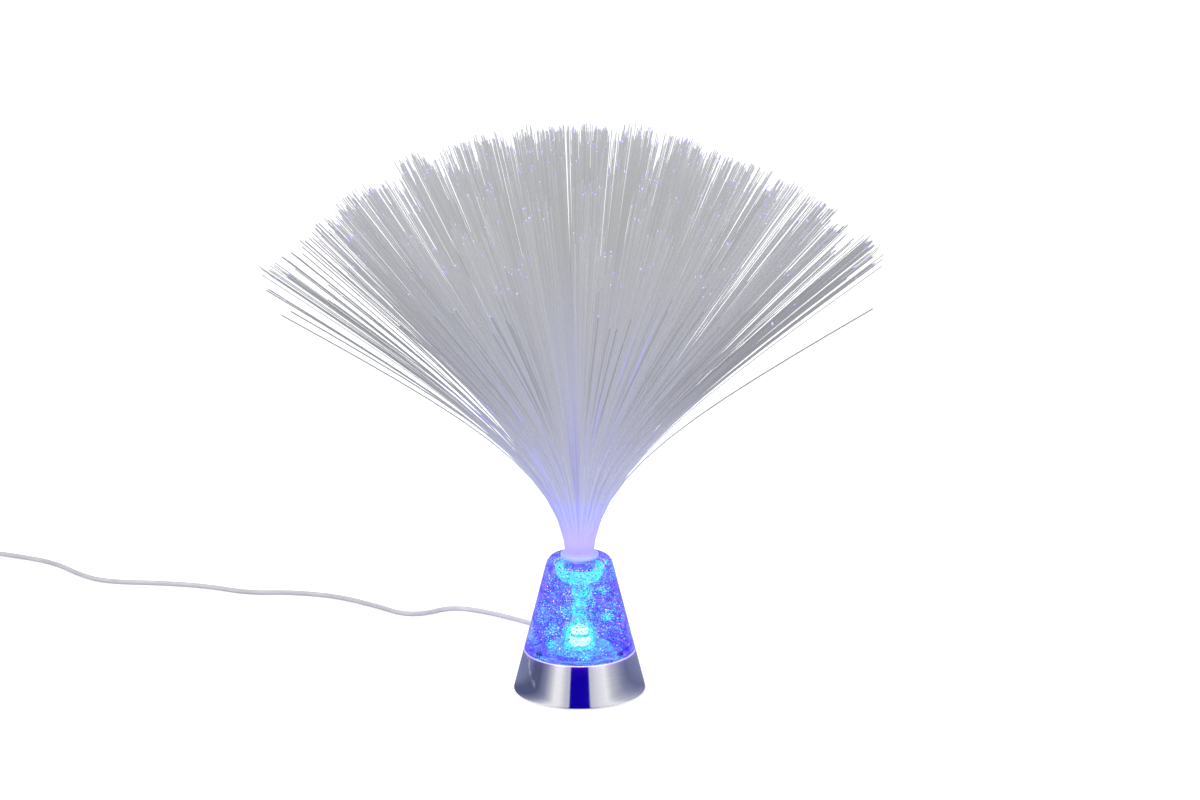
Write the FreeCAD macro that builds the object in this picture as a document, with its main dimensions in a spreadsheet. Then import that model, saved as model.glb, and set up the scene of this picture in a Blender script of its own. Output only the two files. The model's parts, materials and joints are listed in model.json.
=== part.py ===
import FreeCAD, Part

import math
import os
import random

import Sketcher
from FreeCAD import Placement, Rotation, Vector

# A fiber optic lamp, in millimetres. The origin is the middle of the resting pad's underside, on the
# table; +Z is up and the cord leaves the back of the foot, towards +Y.

SIZES = {
    # the cone and its ring share one straight slope from the ring's foot to the cone's top
    "foot_radius": 38.05,
    "foot_height": 0.8,
    "crown_radius": 18.15,
    "crown_height": 80.0,
    "crown_bevel": 2.2,
    # ring
    "ring_top": 24.5,
    "ring_wall": 7.05,
    "ring_bevel": 0.5,
    "ledge_top": 21.5,
    "ledge_thickness": 2.0,
    "ledge_width": 5.6,
    "spigot_step": 2.5,
    "spigot_clearance": 0.2,
    # pad and cover
    "pad_thickness": 1.2,
    "pad_margin": 1.5,
    "cover_thickness": 2.0,
    "cover_clearance": 0.25,
    # screws into the ring's bosses, up into the cone, and down into the cover's posts
    "boss_inset": 4.0,
    "boss_radius": 2.9,
    "post_inset": 4.0,
    "post_radius": 2.5,
    "screw_radius": 1.2,
    "screw_head_radius": 2.3,
    "screw_head_height": 1.2,
    "screw_clearance": 0.1,
    "screw_depth": 7.0,
    "pad_hole_radius": 2.45,
    # light and its board
    "board_margin": 3.0,
    "board_thickness": 1.6,
    "board_height": 18.2,
    "light_radius": 4.0,
    "light_rim": 4.7,
    "light_rim_height": 1.2,
    "light_length": 11.0,
    "light_bevel": 1.9,
    "recess_radius": 5.2,
    "recess_height": 35.0,
    "chip_length": 5.0,
    "chip_width": 4.0,
    "chip_thickness": 1.5,
    "chip_left": 7.0,
    "chip_front": 4.0,
    "resistor_length": 3.2,
    "resistor_width": 1.6,
    "resistor_thickness": 0.6,
    "resistor_front": 6.0,
    "capacitor_radius": 2.5,
    "capacitor_length": 7.0,
    "capacitor_left": 8.0,
    "capacitor_back": 4.0,
    # ferrule, collar and bundle
    "ferrule_radius": 9.1,
    "ferrule_clearance": 0.25,
    "ferrule_length": 10.4,
    "bore_depth": 11.0,
    "collar_radius": 10.9,
    "collar_thickness": 2.2,
    "bundle_radius": 8.3,
    "bundle_clearance": 0.05,
    "bundle_rise": 1.0,
    # fibres
    "fibre_width": 0.75,
    "fibre_length": 245.0,
    "fibre_count": 84,
    "shortest_share": 0.94,
    "spray_angle": 47.3,
    "spray_power": 1.2,
    "stray_count": 8,
    "stray_angle": 54.0,
    "angle_wander": 2.5,
    "bend_length": 48.0,
    "start_share": 0.07,
    # cord and gland
    "cord_radius": 1.4,
    "cord_clearance": 0.05,
    "channel_clearance": 0.12,
    "gland_height": 7.6,
    "gland_neck_radius": 2.6,
    "gland_flange_radius": 3.7,
    "gland_flange_thickness": 1.5,
    "gland_seat_drop": 0.4,
    "gland_tail_length": 5.2,
    "gland_tail_radius": 2.4,
    "clamp_inset": 5.4,
    "clamp_width": 15.0,
    "clamp_depth": 4.0,
    "clamp_thickness": 2.4,
    "clamp_screw_offset": 5.0,
    "lead_radius": 0.6,
    "lead_spacing": 1.4,
    "lead_sides": 4,
    "cord_furthest_back": 253.5,
    "gland_run": 33.4,
    "switch_run": 24.0,
    "plug_run": 20.0,
    "cord_seat": 4.0,
    # switch on the cord
    "switch_across": -412.0,
    "switch_back": 183.0,
    "switch_width": 17.0,
    "switch_length": 50.0,
    "switch_half_height": 6.0,
    "switch_wall": 1.5,
    "switch_end_wall": 3.0,
    "switch_corner": 4.0,
    "switch_bevel": 1.2,
    "switch_boss_radius": 2.1,
    "switch_boss_across": 5.1,
    "switch_boss_along": 15.5,
    "window_width": 8.6,
    "window_length": 15.9,
    "rocker_clearance": 0.3,
    "rocker_end_clearance": 0.55,
    "pivot_height": 9.6,
    "pin_radius": 0.8,
    "pin_clearance": 0.05,
    "pin_seat": 0.7,
    "rocker_depth": 1.2,
    "rocker_rise": 3.1,
    "rocker_end_rise": 2.2,
    "rocker_tilt": 8.0,
    "bridge_width": 3.0,
    "bridge_length": 12.0,
    "bridge_thickness": 0.5,
    "bridge_height": 5.2,
    "bridge_stem": 1.6,
    "contact_top": 4.0,
    "contact_along": 5.0,
    # coil
    "coil_radius": 19.4,
    "coil_back": 109.0,
    "coil_pitch": 3.4,
    "coil_turns": 1.5,
    "cord_sides": 5,
    "coil_sides": 4,
    # plug
    "plug_across": -396.0,
    "plug_back": 3.0,
    "relief_length": 9.0,
    "relief_radius": 2.9,
    "relief_tip_radius": 2.1,
    "grip_width": 15.6,
    "grip_height": 8.0,
    "grip_length": 22.0,
    "grip_rounding": 1.6,
    "shell_width": 12.0,
    "shell_height": 4.5,
    "shell_length": 12.0,
    "shell_wall": 0.3,
    "tongue_width": 11.1,
    "tongue_thickness": 1.84,
    "tongue_setback": 0.6,
    "plug_contact_width": 1.0,
    "plug_contact_length": 8.0,
    "plug_contact_thickness": 0.25,
    "plug_contact_spacing": 2.25,
}

SHEET = "Sizes"
THIRD_TURNS = 3
BOSS_BEARING = 30
SMALL_SIDES = 6
HEAD_SIDES = 12
ROUND_SIDES = 24
WIDE_SIDES = 36
# where a fibre's straight stretches meet, as shares of its length: the wider its lean, the more of them
BEND_STATIONS = [(35, [0, 0.09, 0.24, 0.5, 1]), (15, [0, 0.12, 0.35, 1]), (-90, [0, 0.3, 1])]

# where the lamp's cord bends on the table, as shares of the way across to the switch and of the way back
LAMP_CORD_SHARES = [
    (0.022, 0.367),
    (0.087, 0.462),
    (0.148, 0.535),
    (0.193, 0.557),
    (0.227, 0.513),
    (0.262, 0.507),
    (0.301, 0.568),
    (0.364, 0.645),
    (0.437, 0.677),
    (0.498, 0.671),
    (0.563, 0.724),
    (0.636, 0.750),
    (0.709, 0.757),
    (0.752, 0.795),
    (0.808, 0.911),
    (0.864, 0.961),
    (0.920, 1.000),
    (0.971, 0.984),
]
# where the cord leaves the switch's height and lands, as shares of the way on to the coil
SWITCH_CORD_SHARES = (0.349, 0.707)
# where the cord leaves the coil's height, and its bends on the table: shares across to the plug and on to it
PLUG_CORD_DROP = 0.219
PLUG_CORD_SHARES = [(0.19, 0.46), (0.75, 0.735)]

doc = FreeCAD.newDocument("FiberOpticLamp")
pieces = []


class Size:
    """A size's number, and the formula that ties it to the sheet."""

    def __init__(self, number, formula):
        self.number = number
        self.formula = formula

    def joined(self, sign, other, number):
        return Size(number, f"({self.formula} {sign} {as_size(other).formula})")

    def __add__(self, other):
        return self.joined("+", other, self.number + float(other))

    def __sub__(self, other):
        return self.joined("-", other, self.number - float(other))

    def __mul__(self, other):
        return self.joined("*", other, self.number * float(other))

    def __truediv__(self, other):
        return self.joined("/", other, self.number / float(other))

    def __neg__(self):
        return Size(-self.number, f"(-{self.formula})")

    def __float__(self):
        return float(self.number)


def as_size(value):
    """A plain number as a size of its own; a size stays as it is."""
    if isinstance(value, Size):
        return value
    return Size(float(value), repr(float(value)))


def size(name):
    """One driving dimension."""
    return Size(SIZES[name], f"{SHEET}.{name}")


def make_sheet():
    sheet = doc.addObject("Spreadsheet::Sheet", SHEET)
    for row, (name, number) in enumerate(SIZES.items(), start=1):
        sheet.set(f"A{row}", name)
        sheet.set(f"B{row}", str(number))
        sheet.setAlias(f"B{row}", name)
    doc.recompute()


def bind(thing, prop, value):
    """Sets a number and ties it to the sheet."""
    value = as_size(value)
    thing.setExpression(prop, value.formula)


def place(thing, across=0, back=0, up=0):
    bind(thing, "Placement.Base.x", across)
    bind(thing, "Placement.Base.y", back)
    bind(thing, "Placement.Base.z", up)


def keep(thing, label):
    """Gives a sub-part its label and puts it on the list of pieces."""
    thing.Label = label
    pieces.append(thing)
    return thing


# Sketches and solid features


def new_body(label):
    return keep(doc.addObject("PartDesign::Body", label), label)


def origin_feature(body, role):
    return next(feature for feature in body.Origin.OriginFeatures if feature.Role == role)


def sketch_on(body, role, lift=0):
    sketch = body.newObject("Sketcher::SketchObject", body.Label + "_sketch")
    sketch.AttachmentSupport = [(origin_feature(body, role), "")]
    sketch.MapMode = "FlatFace"
    bind(sketch, "AttachmentOffset.Base.z", lift)
    return sketch


def tie(sketch, geometry, point, across, up):
    """Ties one point of a sketch to its two sizes, or to an axis where a size is nothing."""
    for kind, axis, value in (("DistanceX", -2, across), ("DistanceY", -1, up)):
        if float(value) == 0:
            sketch.addConstraint(Sketcher.Constraint("PointOnObject", geometry, point, axis))
        else:
            rule = Sketcher.Constraint(kind, -1, 1, geometry, point, float(value))
            bind(sketch, f"Constraints[{sketch.addConstraint(rule)}]", value)


def outline(sketch, points):
    """A closed run of straight lines, every corner tied to the sizes."""
    first, count = sketch.GeometryCount, len(points)
    corners = [Vector(float(across), float(up), 0) for across, up in points]
    for start, end in zip(corners, corners[1:] + corners[:1]):
        sketch.addGeometry(Part.LineSegment(start, end), False)
    for k in range(count):
        following = first + (k + 1) % count
        sketch.addConstraint(Sketcher.Constraint("Coincident", first + k, 2, following, 1))
    for k, (across, up) in enumerate(points):
        tie(sketch, first + k, 1, across, up)


def circle(sketch, radius, across=0, up=0):
    middle = Vector(float(across), float(up), 0)
    edge = sketch.addGeometry(Part.Circle(middle, Vector(0, 0, 1), float(radius)), False)
    rule = Sketcher.Constraint("Radius", edge, float(radius))
    bind(sketch, f"Constraints[{sketch.addConstraint(rule)}]", radius)
    tie(sketch, edge, 3, across, up)


def many_sided(sketch, sides, radius, across=0, up=0):
    """A small round outline, drawn with a few straight sides."""
    corners = []
    for k in range(sides):
        out, aside = on_bearing(radius, 360 * k / sides)
        corners.append((as_size(across) + out, as_size(up) + aside))
    outline(sketch, corners)


def rectangle(sketch, width, length, across=0, up=0):
    """A rectangle about a middle point."""
    across, up = as_size(across), as_size(up)
    left, right = across - as_size(width) / 2, across + as_size(width) / 2
    low, high = up - as_size(length) / 2, up + as_size(length) / 2
    outline(sketch, [(left, low), (right, low), (right, high), (left, high)])


def revolve(body, points, role="XZ_Plane"):
    """A body turned about its own Z axis from an outline of (radius, height) corners."""
    sketch = sketch_on(body, role)
    outline(sketch, points)
    turned = body.newObject("PartDesign::Revolution", body.Label + "_turned")
    turned.Profile = sketch
    turned.ReferenceAxis = (sketch, ["V_Axis"])
    turned.Angle = 360
    return turned


def pad(body, sketch, height, down=False):
    feature = body.newObject("PartDesign::Pad", body.Label + "_pad")
    feature.Profile = sketch
    feature.Reversed = down
    bind(feature, "Length", height)
    return feature


def pocket(body, sketch, depth, backwards=False, both_ways=False):
    """Cuts a pocket, and stops the build if it takes nothing away."""
    doc.recompute()
    before = body.Shape.Volume
    feature = body.newObject("PartDesign::Pocket", body.Label + "_pocket")
    feature.Profile = sketch
    feature.Reversed = backwards
    feature.SideType = "Symmetric" if both_ways else "One side"
    bind(feature, "Length", depth)
    doc.recompute()
    if body.Shape.Volume > before - 0.01:
        raise RuntimeError(f"a pocket in {body.Label} cuts nothing")
    return feature


def repeat(body, feature, count):
    """The same feature again, evenly round the body's Z axis."""
    pattern = body.newObject("PartDesign::PolarPattern", body.Label + "_pattern")
    pattern.Originals = [feature]
    pattern.Axis = (origin_feature(body, "Z_Axis"), [""])
    pattern.Angle = 360
    pattern.Occurrences = count
    body.Tip = pattern
    return pattern


def worked_edges(body, kind, prop, amount, wanted):
    """Rounds or bevels the edges that a test picks."""
    doc.recompute()
    edges = [f"Edge{n}" for n, edge in enumerate(body.Shape.Edges, start=1) if wanted(edge)]
    if not edges:
        raise RuntimeError(f"no edge of {body.Label} to work on")
    base = body.Tip
    feature = body.newObject("PartDesign::" + kind, body.Label + "_" + kind)
    feature.Base = (base, edges)
    bind(feature, prop, amount)
    body.Tip = feature
    doc.recompute()
    return feature


def round_edges(body, radius, wanted):
    return worked_edges(body, "Fillet", "Radius", radius, wanted)


def bevel_edges(body, width, wanted):
    return worked_edges(body, "Chamfer", "Size", width, wanted)


def ring_at(radius, up):
    """A test for the round edge of a radius at a height."""
    radius, up = float(radius), float(up)

    def wanted(edge):
        round_edge = isinstance(edge.Curve, Part.Circle)
        return round_edge and abs(edge.Curve.Radius - radius) < 0.01 and abs(edge.Curve.Center.z - up) < 0.01

    return wanted


def on_bearing(circle_radius, bearing):
    """The (across, back) place on a circle at a bearing in degrees, counted from +X."""
    angle = math.radians(bearing)
    turn = round(math.cos(angle), 9), round(math.sin(angle), 9)
    return [circle_radius * share if share else 0 for share in turn]


# Plain solids


def cylinder(name, radius, height, across=0, back=0, up=0):
    solid = doc.addObject("Part::Cylinder", name)
    bind(solid, "Radius", radius)
    bind(solid, "Height", height)
    place(solid, across, back, up)
    return solid


def block(name, width, length, height, across=0, back=0, up=0):
    """A box about a middle point in plan, from a height up."""
    solid = doc.addObject("Part::Box", name)
    bind(solid, "Length", width)
    bind(solid, "Width", length)
    bind(solid, "Height", height)
    place(solid, as_size(across) - as_size(width) / 2, as_size(back) - as_size(length) / 2, up)
    return solid


def fused(name, solids):
    whole = doc.addObject("Part::MultiFuse", name)
    whole.Shapes = solids
    return whole


def cut(name, base, tool):
    rest = doc.addObject("Part::Cut", name)
    rest.Base = base
    rest.Tool = tool
    return rest


def group(label, solids):
    """Separate solids that share one node."""
    together = doc.addObject("Part::Compound", label)
    together.Links = solids
    return keep(together, label)


def shaped(label, shape):
    """A sub-part whose shape is worked out below."""
    feature = doc.addObject("Part::Feature", label)
    feature.Shape = shape
    feature.Placement = Placement()
    return keep(feature, label)


def prism(name, sides, radius, height, across, back, up):
    solid = doc.addObject("Part::Prism", name)
    solid.Polygon = sides
    bind(solid, "Circumradius", radius)
    bind(solid, "Height", height)
    place(solid, across, back, up)
    return solid


def screw(name, up, across, back, shank, head_up=True):
    """A screw whose head's seat is at a height; the shank runs on the other side of the seat."""
    head_height, head_radius = size("screw_head_height"), size("screw_head_radius")
    head_low = up if head_up else up - head_height
    shank_low = up - shank if head_up else up
    head = prism(name + "_head", HEAD_SIDES, head_radius, head_height, across, back, head_low)
    body = prism(name + "_shank", SMALL_SIDES, size("screw_radius"), shank, across, back, shank_low)
    return fused(name, [head, body])


def ring_of_screws(label, circle_radius, bearing, up, shank, head_up):
    third = 360 / THIRD_TURNS
    places = [on_bearing(circle_radius, bearing + third * k) for k in range(THIRD_TURNS)]
    screws = [
        screw(f"{label}_{k}", up, across, back, shank, head_up)
        for k, (across, back) in enumerate(places)
    ]
    return group(label, screws)


# Paths and tubes


def bend_middle(start, corner, end):
    """The middle of the arc that leaves start for corner and arrives at end from it."""
    half = start.distanceToPoint(end) / (2 * start.distanceToPoint(corner))
    chord = (start + end) * 0.5
    return chord + (corner - chord) * (half / (1 + half))


def rounded_path(points):
    """Straight runs joined by tangent arcs, each as large as its two runs allow; and the radii."""
    points = [Vector(*point) for point in points]
    edges, radii, last = [], [], points[0]
    for before, corner, after in zip(points, points[1:], points[2:]):
        into, out = corner - before, after - corner
        trim = 0.45 * min(into.Length, out.Length)
        start = corner - into.normalize() * trim
        end = corner + out.normalize() * trim
        edges.append(Part.LineSegment(last, start).toShape())
        edges.append(Part.Arc(start, bend_middle(start, corner, end), end).toShape())
        radii.append(trim / math.tan(into.getAngle(out) / 2))
        last = end
    edges.append(Part.LineSegment(last, points[-1]).toShape())
    return Part.Wire(edges), radii


def section(start, along, radius, facets=0):
    """A round section, or a faceted one, square to a direction."""
    if not facets:
        return Part.Wire(Part.makeCircle(radius, start, along))
    side = Vector(0, 0, 1).cross(along).normalize()
    up = along.cross(side).normalize()
    turns = [2 * math.pi * (k + 0.5) / facets for k in range(facets + 1)]
    corners = [start + side * (radius * math.cos(a)) + up * (radius * math.sin(a)) for a in turns]
    return Part.makePolygon(corners)


def tube(label, path, radius, facets=0):
    """A solid tube along a wire, its volume compared with its section times its length."""
    first = path.Edges[0]
    start = first.valueAt(first.FirstParameter)
    along = first.tangentAt(first.FirstParameter)
    profile = section(start, along, radius, facets)
    solid = path.makePipeShell([profile], True, False)
    expected = Part.Face(profile).Area * path.Length
    print(f"{label}: {path.Length:.1f} mm long, volume {solid.Volume / expected:.4f} of section times length")
    return shaped(label, solid)


def cord(label, points):
    """A free stretch of cord."""
    path, radii = rounded_path(points)
    print(f"{label}: bend radii", " ".join(f"{radius:.0f}" for radius in radii))
    return tube(label, path, SIZES["cord_radius"], SIZES["cord_sides"])


# The foot


def slope_radius(up):
    """The outer radius of the shared slope at a height."""
    rise = size("crown_height") - size("foot_height")
    fall = size("foot_radius") - size("crown_radius")
    return size("foot_radius") - fall * (as_size(up) - size("foot_height")) / rise


def cavity_radius():
    """The hollow under the ring."""
    return size("foot_radius") - size("ring_wall")


def spigot_radius():
    """The cone's foot, which stands in the top of the ring."""
    return slope_radius(size("ring_top")) - size("spigot_step")


def ledge_bore():
    return spigot_radius() - size("ledge_width")


def boss_circle():
    return cavity_radius() - size("boss_inset")


def cone_screw_circle():
    """The screws into the cone stand in the middle of the ledge."""
    return (spigot_radius() + ledge_bore()) / 2


def board_radius():
    return ledge_bore() - size("board_margin")


def post_circle():
    return board_radius() - size("post_inset")


def clamp_back():
    return cavity_radius() - size("clamp_inset")


def make_resting_pad():
    body = new_body("resting_pad")
    sketch = sketch_on(body, "XY_Plane")
    many_sided(sketch, WIDE_SIDES, cavity_radius() - size("pad_margin"))
    pad(body, sketch, size("pad_thickness"))
    holes = sketch_on(body, "XY_Plane", size("pad_thickness"))
    many_sided(holes, HEAD_SIDES, size("pad_hole_radius"), *on_bearing(boss_circle(), BOSS_BEARING))
    repeat(body, pocket(body, holes, size("pad_thickness") + 1), THIRD_TURNS)


def cover_top():
    return size("pad_thickness") + size("cover_thickness")


def make_bottom_cover():
    body = new_body("bottom_cover")
    disc = sketch_on(body, "XY_Plane", size("pad_thickness"))
    many_sided(disc, WIDE_SIDES, cavity_radius() - size("cover_clearance"))
    pad(body, disc, size("cover_thickness"))
    # posts that carry the light's board
    post = sketch_on(body, "XY_Plane", cover_top())
    many_sided(post, HEAD_SIDES, size("post_radius"), *on_bearing(post_circle(), BOSS_BEARING))
    repeat(body, pad(body, post, size("board_height") - cover_top()), THIRD_TURNS)
    pilot = sketch_on(body, "XY_Plane", size("board_height"))
    bore = size("screw_radius") + size("screw_clearance")
    many_sided(pilot, SMALL_SIDES, bore, *on_bearing(post_circle(), BOSS_BEARING))
    repeat(body, pocket(body, pilot, size("screw_depth") + 1), THIRD_TURNS)
    # saddle under the cord, with its half-round groove and two pilot holes
    saddle = sketch_on(body, "XY_Plane", cover_top())
    rectangle(saddle, size("clamp_width"), size("clamp_depth"), 0, clamp_back())
    pad(body, saddle, size("gland_height") - cover_top())
    groove = sketch_on(body, "XZ_Plane", -(clamp_back() + size("clamp_depth")))
    many_sided(groove, HEAD_SIDES, size("cord_radius") + size("channel_clearance"), 0, size("gland_height"))
    pocket(body, groove, size("clamp_depth") * 2, backwards=True)
    for side in (-1, 1):
        seat = sketch_on(body, "XY_Plane", size("gland_height"))
        many_sided(seat, SMALL_SIDES, bore, size("clamp_screw_offset") * side, clamp_back())
        pocket(body, seat, size("gland_height") - cover_top())
    # sunk holes for the screws into the ring
    through = sketch_on(body, "XY_Plane", cover_top())
    many_sided(through, SMALL_SIDES, bore, *on_bearing(boss_circle(), BOSS_BEARING))
    repeat(body, pocket(body, through, size("cover_thickness") + 1), THIRD_TURNS)
    sunk = sketch_on(body, "XY_Plane", size("pad_thickness"))
    sunk_radius = size("screw_head_radius") + size("screw_clearance")
    many_sided(sunk, HEAD_SIDES, sunk_radius, *on_bearing(boss_circle(), BOSS_BEARING))
    repeat(body, pocket(body, sunk, size("screw_head_height"), backwards=True), THIRD_TURNS)


def make_chrome_ring():
    body = new_body("chrome_ring")
    foot, top = size("foot_height"), size("ring_top")
    ledge_low = size("ledge_top") - size("ledge_thickness")
    revolve(body, [(0, foot), (slope_radius(foot), foot), (slope_radius(top), top), (0, top)])
    # seat for the cone, hole for its light, and the hollow underneath
    seat = sketch_on(body, "XY_Plane", top)
    many_sided(seat, WIDE_SIDES, spigot_radius() + size("spigot_clearance"))
    pocket(body, seat, top - size("ledge_top"))
    hole = sketch_on(body, "XY_Plane", size("ledge_top"))
    many_sided(hole, WIDE_SIDES, ledge_bore())
    pocket(body, hole, size("ledge_thickness"))
    cavity = sketch_on(body, "XY_Plane", foot)
    many_sided(cavity, WIDE_SIDES, cavity_radius())
    pocket(body, cavity, ledge_low - foot, backwards=True)
    # bosses that hang from the ledge down to the cover
    boss = sketch_on(body, "XY_Plane", cover_top())
    many_sided(boss, HEAD_SIDES, size("boss_radius"), *on_bearing(boss_circle(), BOSS_BEARING))
    repeat(body, pad(body, boss, ledge_low - cover_top()), THIRD_TURNS)
    bore = size("screw_radius") + size("screw_clearance")
    pilot = sketch_on(body, "XY_Plane", cover_top())
    many_sided(pilot, SMALL_SIDES, bore, *on_bearing(boss_circle(), BOSS_BEARING))
    repeat(body, pocket(body, pilot, size("screw_depth") + 1, backwards=True), THIRD_TURNS)
    # holes in the ledge for the screws into the cone
    through = sketch_on(body, "XY_Plane", size("ledge_top"))
    many_sided(through, SMALL_SIDES, bore, 0, cone_screw_circle())
    repeat(body, pocket(body, through, size("ledge_thickness") + 1), THIRD_TURNS)
    # hole at the back for the cord's gland
    gland = sketch_on(body, "XZ_Plane", -ledge_bore())
    circle(gland, size("gland_neck_radius"), 0, size("gland_height"))
    pocket(body, gland, size("foot_radius"))
    bevel_edges(body, size("ring_bevel"), ring_at(slope_radius(size("ring_top")), size("ring_top")))


def make_crystal_cone():
    body = new_body("crystal_cone")
    bore = size("ferrule_radius") + size("ferrule_clearance")
    bore_floor = size("crown_height") - size("bore_depth")
    revolve(
        body,
        [
            (0, size("ring_top")),
            (slope_radius(size("ring_top")), size("ring_top")),
            (slope_radius(size("crown_height")), size("crown_height")),
            (bore, size("crown_height")),
            (bore, bore_floor),
            (0, bore_floor),
        ],
    )
    spigot = sketch_on(body, "XY_Plane", size("ledge_top"))
    many_sided(spigot, WIDE_SIDES, spigot_radius())
    pad(body, spigot, size("ring_top") - size("ledge_top"))
    recess = sketch_on(body, "XY_Plane", size("ledge_top"))
    many_sided(recess, ROUND_SIDES, size("recess_radius"))
    depth = size("recess_height") - size("ledge_top")
    pocket(body, recess, depth, backwards=True)
    pilot = sketch_on(body, "XY_Plane", size("ledge_top"))
    hole = size("screw_radius") + size("screw_clearance")
    many_sided(pilot, SMALL_SIDES, hole, 0, cone_screw_circle())
    repeat(body, pocket(body, pilot, size("screw_depth") + 1, backwards=True), THIRD_TURNS)
    crown = ring_at(slope_radius(size("crown_height")), size("crown_height"))
    bevel_edges(body, size("crown_bevel"), crown)


def make_foot_screws():
    head = size("screw_head_height")
    seat = size("pad_thickness") + head
    ledge_low = size("ledge_top") - size("ledge_thickness")
    depth = size("screw_depth")
    boss_shank = depth + size("cover_thickness") - head
    ring_of_screws("cover_screws", boss_circle(), BOSS_BEARING, seat, boss_shank, False)
    cone_shank = depth + size("ledge_thickness")
    ring_of_screws("cone_screws", cone_screw_circle(), 90, ledge_low, cone_shank, False)
    board_top = size("board_height") + size("board_thickness")
    board_shank = depth + size("board_thickness")
    ring_of_screws("board_screws", post_circle(), BOSS_BEARING, board_top, board_shank, True)


def make_light_board():
    board = new_body("light_board")
    disc = sketch_on(board, "XY_Plane", size("board_height"))
    many_sided(disc, ROUND_SIDES, board_radius())
    pad(board, disc, size("board_thickness"))
    holes = sketch_on(board, "XY_Plane", size("board_height") + size("board_thickness"))
    bore = size("screw_radius") + size("screw_clearance")
    many_sided(holes, SMALL_SIDES, bore, *on_bearing(post_circle(), BOSS_BEARING))
    repeat(board, pocket(board, holes, size("board_thickness") + 1), THIRD_TURNS)

    light = new_body("colour_light")
    low = size("board_height") + size("board_thickness")
    top = low + size("light_length")
    rim = sketch_on(light, "XY_Plane", low)
    many_sided(rim, ROUND_SIDES, size("light_rim"))
    pad(light, rim, size("light_rim_height"))
    dome = sketch_on(light, "XY_Plane", low)
    many_sided(dome, ROUND_SIDES, size("light_radius"))
    pad(light, dome, size("light_length"))
    bevel_edges(light, size("light_bevel"), lambda edge: abs(edge.BoundBox.ZMin - float(top)) < 0.01)

    chip_low = size("board_height") - size("chip_thickness")
    chip = block(
        "control_chip",
        size("chip_length"),
        size("chip_width"),
        size("chip_thickness"),
        -size("chip_left"),
        -size("chip_front"),
        chip_low,
    )
    keep(chip, "control_chip")
    resistor_low = size("board_height") - size("resistor_thickness")
    resistors = [
        block(
            f"resistor_{k}",
            size("resistor_width"),
            size("resistor_length"),
            size("resistor_thickness"),
            size("resistor_width") * (2 * k + 1),
            -size("resistor_front"),
            resistor_low,
        )
        for k in range(3)
    ]
    group("board_resistors", resistors)
    capacitor_low = size("board_height") - size("capacitor_length")
    capacitor = prism(
        "board_capacitor",
        HEAD_SIDES,
        size("capacitor_radius"),
        size("capacitor_length"),
        -size("capacitor_left"),
        size("capacitor_back"),
        capacitor_low,
    )
    keep(capacitor, "board_capacitor")


def gland_seat():
    """How far back the gland's outer flange sits, clear of the ring's slope under it."""
    low = size("gland_height") - size("gland_flange_radius")
    return slope_radius(low) + size("cord_clearance")


def make_gland():
    """A moulded strain relief that grips the ring's wall between two flanges."""
    body = new_body("cord_gland")
    flange, thick = size("gland_flange_radius"), size("gland_flange_thickness")
    neck = size("gland_neck_radius") - size("cord_clearance")
    tail, tail_length = size("gland_tail_radius"), size("gland_tail_length")
    inner_seat = cavity_radius() - size("gland_seat_drop")
    high = size("gland_height")
    stretches = [
        (gland_seat() + thick + tail_length, tail, tail_length),
        (gland_seat() + thick, flange, thick),
        (gland_seat(), neck, gland_seat() - inner_seat),
        (inner_seat, flange, thick),
    ]
    for back, radius, length in stretches:
        face = sketch_on(body, "XZ_Plane", -back)
        many_sided(face, HEAD_SIDES, radius, 0, high)
        pad(body, face, length)
    bore = sketch_on(body, "XZ_Plane", -(gland_seat() + thick + tail_length))
    many_sided(bore, HEAD_SIDES, size("cord_radius") + size("channel_clearance"), 0, high)
    pocket(body, bore, size("foot_radius"), backwards=True)


def make_cord_clamp():
    low = size("gland_height")
    bar = block(
        "clamp_bar",
        size("clamp_width"),
        size("clamp_depth"),
        size("clamp_thickness"),
        0,
        clamp_back(),
        low + size("cord_clearance"),
    )
    channel_radius = size("cord_radius") + size("channel_clearance")
    channel_start = clamp_back() - size("clamp_depth")
    channel = prism("clamp_channel", HEAD_SIDES, channel_radius, size("clamp_depth") * 2, 0, 0, 0)
    channel.Placement = Placement(Vector(0, 0, 0), Rotation(Vector(1, 0, 0), -90))
    place(channel, 0, channel_start, low)
    bore = size("screw_radius") + size("screw_clearance")
    offset = size("clamp_screw_offset")
    holes = [
        prism(f"clamp_hole_{side}", SMALL_SIDES, bore, low * 2, offset * side, clamp_back(), 0)
        for side in (-1, 1)
    ]
    keep(cut("cord_clamp", bar, fused("clamp_cuts", [channel, *holes])), "cord_clamp")
    seat = low + size("cord_clearance") + size("clamp_thickness")
    screws = [
        screw(
            f"clamp_screw_{side}",
            seat,
            offset * side,
            clamp_back(),
            seat - cover_top() - 1,
        )
        for side in (-1, 1)
    ]
    group("clamp_screws", screws)


def cord_end():
    """How far back the cord's sleeve ends, half way through the clamp."""
    return float(clamp_back())


def make_leads():
    """The two leads from the cord's cut end up to the underside of the board."""
    start = cord_end()
    low, high = SIZES["gland_height"], SIZES["board_height"]
    rise = high - low
    for name, side in (("lead_wire_red", -1), ("lead_wire_black", 1)):
        across = side * SIZES["lead_spacing"] / 2
        points = [
            (across, start, low),
            (across, start - rise / 2, low),
            (across * 2, start - rise, low + rise / 3),
            (across * 2, start - rise, high),
        ]
        tube(name, rounded_path(points)[0], SIZES["lead_radius"], SIZES["lead_sides"])


# The fibre head, which lifts out of the cone


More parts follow.
